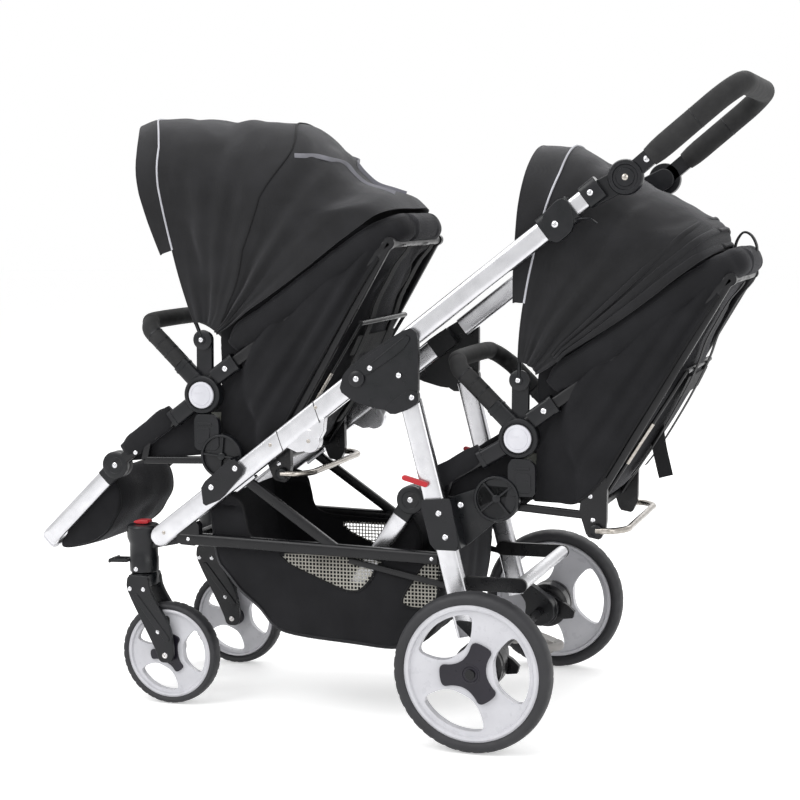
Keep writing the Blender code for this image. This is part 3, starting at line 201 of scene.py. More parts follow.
def grid_of(tree, pitch):
    """Height of a plain weave whose threads run along all three axes."""
    waves = []
    for axis in ("X", "Y", "Z"):
        wave = node_of(tree, "TexWave", Scale=0.314 / pitch, Distortion=0.3, Detail=1.0)
        wave.wave_type = "BANDS"
        wave.bands_direction = axis
        tree.links.new(object_coordinates(tree, EVENLY), wave.inputs["Vector"])
        waves.append(wave.outputs["Fac"])
    return sum_of(tree, sum_of(tree, waves[0], waves[1]), waves[2])


def brushed_metal(name, dark, light, roughness, stretch):
    """Satin metal with fine drawn lines along its length and a few dull patches."""
    material = material_of(name, light, roughness, 1.0)
    tree = material.node_tree
    shader = tree.nodes["Principled BSDF"]
    lines = noise_of(tree, stretch, 40.0)
    shade_of(tree, lines, dark, light)
    patches = noise_of(tree, EVENLY, 14.0)
    tree.links.new(range_of(tree, patches, roughness - 0.03, roughness + 0.04), shader.inputs["Roughness"])
    bump_of(tree, lines, 0.04, 0.0002)
    return material


def moulded(name, dark, light, roughness, grain=1400.0, relief=0.25, gloss=0.5):
    """Moulded plastic with a fine grain and slightly uneven gloss."""
    material = material_of(name, light, roughness, Specular_IOR_Level=gloss)
    tree = material.node_tree
    shader = tree.nodes["Principled BSDF"]
    shade_of(tree, noise_of(tree, EVENLY, 30.0), dark, light)
    tree.links.new(range_of(tree, noise_of(tree, EVENLY, 60.0), roughness - 0.06, roughness + 0.08),
                   shader.inputs["Roughness"])
    bump_of(tree, noise_of(tree, EVENLY, grain, 1.0), relief, 0.0002)
    return material


def woven(name, dark, light, pitch, sheen, sheen_tint):
    """Woven cloth: threads, uneven dye and soft creases, with a faint sheen."""
    material = material_of(name, light, 0.85, Sheen_Weight=sheen, Sheen_Roughness=0.45,
                           Sheen_Tint=(*sheen_tint, 1.0), Specular_IOR_Level=0.25)
    tree = material.node_tree
    shade_of(tree, noise_of(tree, EVENLY, 18.0), dark, light)
    creases = bump_of(tree, noise_of(tree, (1.0, 1.0, 0.45), 26.0), 0.35, 0.004)
    bump_of(tree, grid_of(tree, pitch), 0.35, 0.0003, creases)
    return material


ALUMINIUM = brushed_metal("satin_aluminium", (0.53, 0.53, 0.55), (0.62, 0.62, 0.64), 0.26, (1, 8, 1))
STEEL = brushed_metal("steel_wire", (0.28, 0.26, 0.23), (0.46, 0.43, 0.40), 0.26, (4, 1, 4))
RIVET = brushed_metal("rivet_steel", (0.50, 0.50, 0.52), (0.70, 0.70, 0.72), 0.20, (1, 1, 1))
BLACK_METAL = moulded("black_paint", (0.004, 0.004, 0.005), (0.007, 0.007, 0.008), 0.30, 900.0, 0.10, 0.30)
BLACK_PLASTIC = moulded("black_plastic", (0.004, 0.005, 0.006), (0.008, 0.008, 0.010), 0.31, gloss=0.30)
HUB_BLACK = moulded("hub_plastic", (0.008, 0.007, 0.012), (0.014, 0.012, 0.019), 0.32, gloss=0.32)
GREY_PLASTIC = moulded("grey_plastic", (0.22, 0.21, 0.20), (0.30, 0.29, 0.28), 0.48)
WHITE_PLASTIC = moulded("white_plastic", (0.52, 0.52, 0.56), (0.62, 0.62, 0.66), 0.36, 900.0, 0.06)
RED_PLASTIC = moulded("red_plastic", (0.36, 0.004, 0.010), (0.46, 0.008, 0.016), 0.36, 900.0, 0.10)
RIM_PLASTIC = moulded("rim_plastic", (0.50, 0.50, 0.53), (0.57, 0.57, 0.60), 0.30, 1200.0, 0.02)
RUBBER = moulded("tyre_rubber", (0.010, 0.010, 0.012), (0.018, 0.018, 0.021), 0.62, 700.0, 0.5)
FOAM = moulded("black_foam", (0.0035, 0.0035, 0.004), (0.008, 0.008, 0.0085), 0.82, 420.0, 0.8)
CLOTH = woven("black_fabric", (0.0035, 0.0035, 0.0045), (0.0080, 0.0080, 0.0095), 0.0011, 0.12,
              (0.55, 0.55, 0.60))
TOP_CLOTH = woven("black_canopy", (0.008, 0.008, 0.0088), (0.014, 0.014, 0.0155), 0.0009, 0.24,
                  (0.60, 0.60, 0.63))
LINING = woven("dark_lining", (0.006, 0.0065, 0.004), (0.014, 0.015, 0.009), 0.0013, 0.14, (0.5, 0.52, 0.42))
WEBBING = woven("black_webbing", (0.0035, 0.0035, 0.004), (0.007, 0.007, 0.008), 0.0022, 0.14,
                (0.5, 0.5, 0.5))
NET = woven("pale_net", (0.30, 0.29, 0.26), (0.44, 0.43, 0.39), 0.0015, 0.10, (0.8, 0.8, 0.8))
PIPING = woven("silver_piping", (0.36, 0.36, 0.39), (0.52, 0.52, 0.56), 0.0010, 0.20, (0.9, 0.9, 0.9))
DULL_PIPING = woven("grey_piping", (0.12, 0.12, 0.14), (0.20, 0.20, 0.22), 0.0010, 0.20, (0.8, 0.8, 0.8))


# Shapes: each builder returns vertices and faces

def tube_faces(rows, count, closed=False, caps=True):
    """Faces that join rings of equal length, one after another, with a lid on each end."""
    faces = []
    for row in range(rows if closed else rows - 1):
        here, there = row * count, ((row + 1) % rows) * count
        faces += [(here + k, here + (k + 1) % count, there + (k + 1) % count, there + k)
                  for k in range(count)]
    if caps and not closed:
        faces += [tuple(range(count)), tuple(range((rows - 1) * count, rows * count))]
    return faces


def plate(outline, y_from, y_to):
    """A side-view outline, extruded from one Y to the other."""
    low, high = min(y_from, y_to), max(y_from, y_to)
    count = len(outline)
    vertices = [at(x, z, low) for x, z in outline] + [at(x, z, high) for x, z in outline]
    faces = [(k, (k + 1) % count, count + (k + 1) % count, count + k) for k in range(count)]
    faces += [tuple(range(count)), tuple(range(count, 2 * count))]
    return vertices, faces


def turning(profile, centre, axis="Y", segments=48, closed=False, sign=1):
    """A profile of (radius, height along the axis), turned round the axis through centre."""
    vertices = []
    for radius, height in profile:
        for k in range(segments):
            a = math.tau * k / segments
            u, v = radius * math.cos(a), radius * math.sin(a)
            offset = (u, sign * height, v) if axis == "Y" else (u, v, sign * height)
            vertices.append(centre + Vector(offset))
    return vertices, tube_faces(len(profile), segments, closed)


def smooth(points, steps=6, closed=False):
    """A Catmull-Rom curve through the points."""
    points = [Vector(p) for p in points]
    count = len(points)
    result = []
    for k in range(count if closed else count - 1):
        p1, p2 = points[k], points[(k + 1) % count]
        p0 = points[k - 1] if closed or k else p1 * 2 - p2
        p3 = points[(k + 2) % count] if closed or k + 2 < count else p2 * 2 - p1
        for step in range(steps):
            t = step / steps
            result.append(0.5 * (2 * p1 + (p2 - p0) * t + (2 * p0 - 5 * p1 + 4 * p2 - p3) * t ** 2
                                 + (3 * p1 - p0 - 3 * p2 + p3) * t ** 3))
    if not closed:
        result.append(points[-1])
    return result


def oval(half_u, half_v, count=16, power=1.0):
    """Points of a cross-section: an ellipse, or a rounded rectangle where power is under 1."""
    points = []
    for k in range(count):
        a = math.tau * (k + 0.5) / count
        c, s = math.cos(a), math.sin(a)
        points.append((half_u * math.copysign(abs(c) ** power, c),
                       half_v * math.copysign(abs(s) ** power, s)))
    return points


def heading_at(path, k):
    """The direction of a path at one of its points."""
    return (path[min(len(path) - 1, k + 1)] - path[max(0, k - 1)]).normalized()


def sweep(path, section, side=(0.0, 1.0, 0.0), scales=None):
    """A section (u along side, v across it) carried along a path."""
    side = Vector(side)
    vertices = []
    for k, here in enumerate(path):
        tangent = heading_at(path, k)
        u = side - tangent * side.dot(tangent)
        if u.length < 0.05:
            u = Vector((0, 0, 1)) - tangent * tangent.z
        u.normalize()
        v = tangent.cross(u)
        size = scales[k] if scales else 1.0
        vertices += [here + (u * a + v * b) * size for a, b in section]
    return vertices, tube_faces(len(path), len(section))


def mirrored(points):
    """The points of one side, then their mirror images in the opposite order."""
    return points + [Vector((p.x, -p.y, p.z)) for p in reversed(points)]


def bar(start, end, y, section):
    """A straight bar between two side-view points, at one distance from the middle plane."""
    return sweep([at(*start, y), at(*end, y)], section)


def round_pipe(path, radius, count=14):
    """A round tube along any path, with a frame that turns as little as it can."""
    vertices = []
    across = None
    for k, here in enumerate(path):
        tangent = heading_at(path, k)
        if across is None:
            across = tangent.orthogonal()
        across = (across - tangent * across.dot(tangent)).normalized()
        other = tangent.cross(across)
        for step in range(count):
            a = math.tau * step / count
            vertices.append(here + across * (radius * math.cos(a)) + other * (radius * math.sin(a)))
    return vertices, tube_faces(len(path), count)


def bar_outline(start, end, width, round_start=False, round_end=False, steps=10):
    start, end = Vector(start), Vector(end)
    along = (end - start).normalized()
    across = Vector((-along.y, along.x))
    points = []
    for centre, heading, rounded in ((start, -along, round_start), (end, along, round_end)):
        side = across if heading.dot(along) < 0 else -across
        if not rounded:
            points += [centre + side * (width / 2), centre - side * (width / 2)]
            continue
        for k in range(steps + 1):
            a = math.pi * k / steps
            points.append(centre + (side * math.cos(a) + heading * math.sin(a)) * (width / 2))
    return [(p.x, p.y) for p in points]


def disc_outline(centre, radius):
    turns = [math.tau * k / 36 for k in range(36)]
    return [(centre[0] + radius * math.cos(a), centre[1] + radius * math.sin(a)) for a in turns]


def softened(outline, rounds=2, share=0.25):
    """The outline with its corners cut, more smoothly with more rounds."""
    points = [Vector(p) for p in outline]
    for _ in range(rounds):
        shorter = []
        for k, here in enumerate(points):
            after = points[(k + 1) % len(points)]
            shorter += [here.lerp(after, share), here.lerp(after, 1 - share)]
        points = shorter
    return [tuple(p) for p in points]


def rivet_head(centre, radius, side):
    """A domed rivet or bolt head with a small dimple, facing out along Y."""
    height = radius * 0.45
    profile = [(radius, 0.0), (radius * 0.96, height * 0.45), (radius * 0.75, height * 0.85),
               (radius * 0.42, height), (radius * 0.30, height * 0.72), (0.0004, height * 0.66)]
    return turning(profile, centre, segments=20, sign=side)


def make(name, parts, material, body=None, bevel=0.0, sharp=35.0, replaces=(), slot=None):
    """One piece from several shapes, with its finish, riding on its body."""
    vertices, faces = [], []
    for part_vertices, part_faces in parts:
        first = len(vertices)
        vertices += [tuple(v) for v in part_vertices]
        faces += [tuple(first + k for k in face) for face in part_faces]
    mesh = bpy.data.meshes.new(name)
    mesh.from_pydata(vertices, [], faces)
    form = bmesh.new()
    form.from_mesh(mesh)
    bmesh.ops.recalc_face_normals(form, faces=form.faces)
    form.to_mesh(mesh)
    form.free()
    mesh.materials.append(material)
    mesh.shade_smooth()
    piece = bpy.data.objects.new(name, mesh)
    bpy.context.scene.collection.objects.link(piece)
    if bevel:
        add_bevel(piece, bevel, sharp)
    else:
        mesh.set_sharp_from_angle(angle=math.radians(sharp))
    if body:
        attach(piece, body)
    if replaces:
        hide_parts(*replaces)
    return piece


def cut(piece, cutters):
    """Boolean difference, applied, before any bevel is added."""
    for number, parts in enumerate(cutters):
        tool = make(f"cutter{number}", [parts], RUBBER)
        step = piece.modifiers.new("cut", "BOOLEAN")
        step.object = tool
        step.solver = "EXACT"
        bpy.context.view_layer.update()
        mesh = bpy.data.meshes.new_from_object(piece.evaluated_get(bpy.context.evaluated_depsgraph_get()))
        piece.modifiers.clear()
        piece.data = mesh
        bpy.data.objects.remove(tool)
    return piece


def add_bevel(piece, width, sharp):
    edge = piece.modifiers.new("edges", "BEVEL")
    edge.width = width
    edge.segments = 3
    edge.angle_limit = math.radians(sharp)
    edge.harden_normals = True


def rivets(name, places, radius, side, y, body, material=RIVET):
    """Rivet heads at side-view places, on the face at Y."""
    heads = [rivet_head(at(x, z, side * y), radius, side) for x, z in places]
    return make(name, heads, material, body)


# Wheels

def tyre(name, centre, radius, bead, half, body, node):
    """A tyre with a rounded crown, a sidewall step and sipes round its shoulders."""
    deep = radius - bead
    side = [(bead - 0.0015, 0.55), (bead + 0.10 * deep, 0.80), (bead + 0.30 * deep, 0.97),
            (bead + 0.55 * deep, 1.0), (bead + 0.78 * deep, 0.90), (bead + 0.92 * deep, 0.66),
            (radius - 0.0006, 0.34)]
    profile = [(r, -half * w) for r, w in side] + [(radius, 0.0)] + [(r, half * w) for r, w in reversed(side)]
    segments = 180
    vertices, faces = turning(profile, Vector((0, 0, 0)), segments=segments, closed=True)
    grooved = {4, 5, 9, 10}
    for row in range(len(profile)):
        for k in range(segments):
            if row in grooved and k % 5 == 0:
                v = vertices[row * segments + k]
                flat = Vector((v.x, 0, v.z))
                vertices[row * segments + k] = v - flat.normalized() * 0.0011
    piece = make(name, [(vertices, faces)], RUBBER, sharp=60)
    piece.location = centre
    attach(piece, body)
    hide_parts(node)


def window_outline(middle, radius):
    """One opening between two spokes, as polar points turned into side-view ones."""
    key = [(0.855, -37), (0.865, -25), (0.865, -12), (0.865, 0), (0.865, 12), (0.865, 25), (0.855, 37),
           (0.56, 37), (0.38, 26), (0.335, 0), (0.38, -26), (0.56, -37)]
    points = [(share * radius, math.radians(degrees)) for share, degrees in key]
    return [(r * math.cos(middle + a), r * math.sin(middle + a)) for r, a in points]


def star_outline(reach, waist, half, turn):
    """A three-armed cap with round-ended arms and hollow sides."""
    points = []
    for k in range(3):
        a = turn + math.tau * k / 3
        ux, uz = math.cos(a), math.sin(a)
        for along, across in ((waist * 0.98, -half * 0.86), (reach * 0.94, -half), (reach, 0.0),
                              (reach * 0.94, half), (waist * 0.98, half * 0.86)):
            points.append((ux * along - uz * across, uz * along + ux * across))
        b = a + math.pi / 3
        points.append((waist * 0.74 * math.cos(b), waist * 0.74 * math.sin(b)))
    return points


def rim(name, centre, radius, half, turn, side, body, node, cap_reach, cap_half):
    """A dished rim with three windows, a rolled lip and a three-armed cap on its outer face."""
    lip = 0.94 * radius
    profile = [(radius - 0.0004, -0.60 * half), (radius + 0.0010, -0.74 * half),
               (radius - 0.0022, -0.84 * half), (lip, -0.78 * half), (lip - 0.0020, -0.52 * half),
               (0.80 * radius, -0.40 * half), (0.36 * radius, -0.62 * half), (0.10 * radius, -0.62 * half),
               (0.10 * radius, 0.30 * half), (0.80 * radius, 0.20 * half), (lip - 0.0020, 0.46 * half),
               (lip, 0.72 * half), (radius - 0.0022, 0.80 * half), (radius - 0.0004, 0.60 * half)]
    flipped = [(r, side * -h) for r, h in profile]
    piece = make(name, [turning(flipped, Vector((0, 0, 0)), segments=96, closed=True)], RIM_PLASTIC)
    cutters = []
    for k in range(3):
        outline = window_outline(turn + math.pi / 3 + math.tau * k / 3, radius)
        vertices, faces = plate(softened(outline, 2), -0.05, 0.05)
        cutters.append(([v - Vector((AXLE_X, 0, 0)) for v in vertices], faces))
    cut(piece, cutters)
    piece.data.materials.clear()
    piece.data.materials.append(RIM_PLASTIC)
    piece.data.shade_smooth()
    add_bevel(piece, 0.0016, 30.0)
    piece.location = centre
    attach(piece, body)
    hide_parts(node)

    face = side * 0.62 * half
    outline = softened(star_outline(cap_reach, cap_reach * 0.62, cap_half, turn), 3)
    shifted = [(x - AXLE_X, z) for x, z in outline]
    cap = plate(shifted, face, face + side * 0.0036)
    boss = turning([(0.30 * cap_reach, 0.0), (0.30 * cap_reach, 0.0012), (0.25 * cap_reach, 0.0016),
                    (0.23 * cap_reach, 0.0004), (0.001, 0.0004)], Vector((0, face + side * 0.0034, 0)),
                   sign=side)
    inner = turning([(0.20 * radius, 0.0), (0.20 * radius, 0.7 * half), (0.12 * radius, 0.9 * half)],
                    Vector((0, -side * 0.1 * half, 0)), sign=-side)
    cap_piece = make(f"{name}_cap", [cap, boss, inner], HUB_BLACK, bevel=0.0012)
    cap_piece.location = centre
    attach(cap_piece, body)


def wheels():
    spoke_turn = math.radians(66)
    for side, word in SIDES:
        body = f"rear_wheel_{word}"
        centre = at(0.0, AXLE_Z, side * REAR_WHEEL_Y)
        tyre(f"rear_tyre_{word}_look", centre, 0.130, 0.110, 0.0194, body, f"rear_tyre_{word}")
        rim(f"rear_rim_{word}_look", centre, 0.110, 0.0194, spoke_turn, side, body, f"rear_rim_{word}",
            0.052, 0.0185)
        body = f"front_wheel_{word}"
        centre = at(*CASTER_AXLE, side * CASTER_Y)
        tyre(f"front_tyre_{word}_look", centre, 0.0902, 0.0777, 0.015, body, f"front_tyre_{word}")
        rim(f"front_rim_{word}_look", centre, 0.0777, 0.015, spoke_turn, side, body, f"front_rim_{word}",
            0.036, 0.0095)


# Casters

def casters():
    for side, word in SIDES:
        y = side * CASTER_Y
        axis = at(SWIVEL_X, 0.0, y)
        housing = turning(
            [(0.0215, HOUSING_LOW), (0.0255, HOUSING_LOW + 0.002), (0.0258, HOUSING_LOW + 0.026),
             (0.0248, HOUSING_LOW + 0.028), (0.0248, HOUSING_TOP - 0.034), (0.0285, HOUSING_TOP - 0.024),
             (0.0290, HOUSING_TOP - 0.005), (0.0262, HOUSING_TOP - 0.001), (0.0040, HOUSING_TOP)],
            axis, axis="Z", segments=64)
        arm = plate([(SWIVEL_X, HOUSING_TOP - 0.046), (SWIVEL_X + 0.070, HOUSING_TOP - 0.032),
                     (SWIVEL_X + 0.094, HOUSING_TOP + 0.010), (SWIVEL_X + 0.060, HOUSING_TOP + 0.004),
                     (SWIVEL_X, HOUSING_TOP - 0.006)], side * 0.136, side * 0.1557)
        make(f"caster_housing_{word}_look", [housing, arm], BLACK_PLASTIC, "chassis", bevel=0.0015,
             replaces=[f"caster_housing_{word}"], slot="black_plastic")
        rivets(f"housing_rivets_{word}", [(SWIVEL_X - 0.004, 0.2405), (SWIVEL_X + 0.0555, 0.3005)],
               0.0042, side, 0.1705, "chassis")

        tab = plate(softened([(SWIVEL_X - 0.0145, HOUSING_TOP + 0.0005),
                              (SWIVEL_X + 0.012, HOUSING_TOP + 0.0005),
                              (SWIVEL_X + 0.0142, HOUSING_TOP + 0.0045),
                              (SWIVEL_X + 0.011, HOUSING_TOP + 0.0078),
                              (SWIVEL_X - 0.0140, HOUSING_TOP + 0.0062)], 1), y - 0.009, y + 0.009)
        make(f"release_tab_{word}_look", [tab], RED_PLASTIC, f"release_tab_{word}", bevel=0.001,
             replaces=[f"release_tab_{word}"], slot="red_plastic")

        body = f"caster_{word}"
        crown_top = HOUSING_LOW - 0.0003
        crown = turning([(0.0205, -0.0225), (0.0238, -0.0205), (0.0242, -0.004), (0.0220, 0.0)],
                        axis + Vector((0, 0, crown_top)), axis="Z", segments=56)
        parts = [crown]
        wheel_inner, thick = 0.0200, 0.008
        ax, az = CASTER_AXLE
        leg = [(SWIVEL_X - 0.0205, crown_top - 0.002), (SWIVEL_X - 0.0235, crown_top - 0.024),
               (SWIVEL_X - 0.012, crown_top - 0.050), (ax - 0.0185, az + 0.010), (ax - 0.0110, az - 0.013),
               (ax + 0.0110, az - 0.013), (ax + 0.0170, az + 0.006), (ax + 0.0110, az + 0.052),
               (SWIVEL_X + 0.0225, crown_top - 0.030), (SWIVEL_X + 0.0190, crown_top - 0.002)]
        for s in (-1, 1):
            parts.append(plate(softened(leg, 2, 0.18), y + s * wheel_inner, y + s * (wheel_inner + thick)))
            rib = bar_outline((SWIVEL_X - 0.004, crown_top - 0.040), (ax + 0.004, az + 0.030), 0.011, True,
                              True)
            parts.append(plate(rib, y + s * (wheel_inner + thick - 0.001),
                               y + s * (wheel_inner + thick + 0.0018)))
        parts.append(plate([(SWIVEL_X - 0.020, crown_top - 0.022), (SWIVEL_X + 0.020, crown_top - 0.022),
                            (SWIVEL_X + 0.018, crown_top - 0.0015), (SWIVEL_X - 0.018, crown_top - 0.0015)],
                           y - 0.0275, y + 0.0275))
        make(f"caster_fork_{word}_look", parts, BLACK_PLASTIC, body, bevel=0.0016,
             replaces=[f"caster_fork_{word}"], slot="black_plastic")
        outer = wheel_inner + thick
        bolts = [(ax, az, 0.0052), (ax - 0.012, az + 0.042, 0.0044),
                 (SWIVEL_X - 0.016, crown_top - 0.026, 0.0040), (SWIVEL_X + 0.010, crown_top - 0.026, 0.0040)]
        heads = [rivet_head(at(x, z, y + s * outer), size, s) for s in (-1, 1) for x, z, size in bolts]
        make(f"fork_bolts_{word}", heads, RIVET, body)
        axle = turning([(0.0046, -outer - 0.002), (0.0046, outer + 0.002)], at(ax, az, y), segments=24)
        make(f"fork_axle_{word}", [axle], STEEL, body)

        pivot = (SWIVEL_X - 0.0296, HOUSING_LOW + 0.020)
        lever = plate(bar_outline((pivot[0] - 0.032, pivot[1] - 0.001), pivot, 0.0066, True, True),
                      y - 0.012, y + 0.012)
        lip_ends = (pivot[0] - 0.033, pivot[1] - 0.003), (pivot[0] - 0.026, pivot[1] + 0.002)
        lip = plate(bar_outline(*lip_ends, 0.005, True, True), y - 0.0125, y + 0.0125)
        make(f"swivel_lock_{word}_look", [lever, lip], BLACK_PLASTIC, f"swivel_lock_{word}", bevel=0.001,
             replaces=[f"swivel_lock_{word}"], slot="black_plastic")


# Chassis tubes

def flat_tube(start, end, height, y, width=0.020, round_start=False):
    """A flat-sided tube with full round edges between two side-view points."""
    section = oval(width / 2, height / 2, 40, 0.42)
    tube = bar(start, end, y, section)
    if not round_start:
        return [tube]
    direction = (Vector(end) - Vector(start)).normalized()
    cross = Vector((-direction.y, 0, direction.x))
    rings = 6
    vertices = []
    for k in range(rings):
        a = math.pi / 2 * k / (rings - 1)
        centre = Vector(start) - direction * (height / 2 * math.sin(a))
        size = max(0.02, math.cos(a))
        middle = at(centre.x, centre.y, y)
        flare = min(1.0, size ** 0.35)
        vertices += [middle + Vector((0, u * flare, 0)) - cross * (v * size) for u, v in section]
    faces = tube_faces(rings, len(section), caps=False)
    faces.append(tuple(range((rings - 1) * len(section), rings * len(section))))
    return [tube, (vertices, faces)]


def main_tubes():
    for side, word in SIDES:
        y = side * TUBE_Y
        tube = flat_tube(on_tube(0.0), on_tube(0.505), 0.036, y, round_start=True)
        ear = [plate(disc_outline(on_tube(0.330, -0.031), 0.020), side * 0.157, side * 0.1752),
               plate(softened([on_tube(0.286, -0.008), on_tube(0.306, -0.043), on_tube(0.352, -0.043),
                               on_tube(0.386, -0.008)], 1), side * 0.1575, side * 0.1747)]
        make(f"main_tube_{word}_look", tube, ALUMINIUM, "chassis", sharp=60,
             replaces=[f"main_tube_{word}"], slot="satin_aluminium")
        make(f"tube_knuckle_{word}", ear, ALUMINIUM, "chassis", bevel=0.0016, slot="satin_aluminium")
        rivets(f"knuckle_pins_{word}", [on_tube(0.270, 0.004), on_tube(0.330, -0.031), on_tube(0.376, 0.006)],
               0.0034, side, 0.1755, "chassis", STEEL)
        seam = []
        for along in (0.288, 0.372):
            ring = [at(*on_tube(along + 0.006 * math.cos(math.pi * k / 6),
                                0.0185 * math.cos(math.pi * k / 6)),
                       side * 0.1762) for k in range(7)]
            seam.append(round_pipe(ring, 0.0006, 6))
        make(f"knuckle_seams_{word}", seam, BLACK_METAL, "chassis")
        strip = plate([on_tube(0.168, -0.0185), on_tube(0.212, -0.0185), on_tube(0.212, -0.0235),
                       on_tube(0.168, -0.0235)], side * 0.160, side * 0.174)
        make(f"tube_strip_{word}", [strip], ALUMINIUM, "chassis", bevel=0.001)
        slot_pin = rivet_head(at(*on_tube(0.012, 0.0), side * 0.1757), 0.0034, side)
        make(f"tube_end_pin_{word}", [slot_pin], STEEL, "chassis")


def fold_brackets():
    for side, word in SIDES:
        outline = [on_tube(0.456, 0.021), on_tube(0.510, 0.0225), on_tube(0.594, 0.0125),
                   on_tube(0.599, -0.006), (LEG_TOP[0] + 0.021, LEG_TOP[1] - 0.006),
                   (LEG_TOP[0] - 0.004, LEG_TOP[1] - 0.021), (LEG_TOP[0] - 0.046, LEG_TOP[1] - 0.023),
                   on_tube(0.440, -0.027), on_tube(0.431, 0.002)]
        shell = plate(softened(outline, 1, 0.16), side * 0.1763, side * 0.1862)
        raised = plate(softened([on_tube(0.470, 0.016), on_tube(0.512, 0.017), on_tube(0.580, 0.008),
                                 on_tube(0.586, -0.004), on_tube(0.560, -0.012), on_tube(0.474, -0.006)], 1,
                                0.2),
                       side * 0.1855, side * 0.1888)
        block = plate([on_tube(0.500, 0.0172), on_tube(0.545, 0.0172), on_tube(0.545, -0.0172),
                       on_tube(0.500, -0.0172)], side * 0.156, side * 0.180)
        ridge = bar(on_tube(0.500, 0.004), on_tube(0.578, 0.004), side * 0.1888, oval(0.0012, 0.0012, 10))
        boss = turning([(0.0135, 0.0), (0.0135, 0.0052), (0.0115, 0.0065), (0.0060, 0.0065)],
                       at(-0.221, 0.585, side * 0.1855), sign=side)
        lug = plate(softened([(-0.176, 0.536), (-0.134, 0.568), (-0.116, 0.566), (-0.114, 0.548),
                              (-0.132, 0.536), (-0.160, 0.526)], 1, 0.2), side * 0.1765, side * 0.1885)
        make(f"fold_bracket_{word}_look", [shell, raised, block, ridge, boss, lug], BLACK_PLASTIC, "chassis",
             bevel=0.0016, replaces=[f"fold_bracket_{word}"], slot="black_plastic")
        rivets(f"bracket_rivets_{word}", [(-0.221, 0.585)], 0.0050, side, 0.1918, "chassis")
        rivets(f"bracket_rivets_b_{word}", [(-0.198, 0.603), (-0.148, 0.592), (-0.126, 0.556)], 0.0046, side,
               0.1884, "chassis")


def upper_tubes():
    for side, word in SIDES:
        y = side * TUBE_Y
        tube = flat_tube(on_tube(FOLD_ALONG - 0.006), on_tube(0.872), 0.034, y)
        make(f"upper_tube_{word}_look", tube, ALUMINIUM, "upper_frame", sharp=60,
             replaces=[f"upper_tube_{word}"], slot="satin_aluminium")
        clamp = bar(on_tube(0.862), on_tube(0.924), y, oval(0.0138, 0.0225, 40, 0.45))
        cheek = plate(softened([on_tube(0.862, -0.030), on_tube(0.872, 0.020), on_tube(0.918, 0.026),
                                on_tube(0.926, 0.006), on_tube(0.906, -0.030)], 2, 0.2),
                      side * (TUBE_Y + 0.002), side * (TUBE_Y + 0.0148))
        make(f"tube_clamp_{word}", [clamp, cheek], BLACK_PLASTIC, "upper_frame", bevel=0.0014,
             slot="black_plastic")
        rivets(f"clamp_bolt_{word}", [on_tube(0.886, -0.004)], 0.0055, side, TUBE_Y + 0.0146, "upper_frame")
        lever = sweep(smooth([at(*on_tube(0.916, -0.018), side * 0.178),
                              at(*on_tube(0.934, -0.030), side * 0.180),
                              at(*on_tube(0.940, -0.044), side * 0.178)], 5), oval(0.004, 0.0016, 12))
        make(f"clamp_lip_{word}", [lever], BLACK_PLASTIC, "upper_frame", slot="black_plastic")


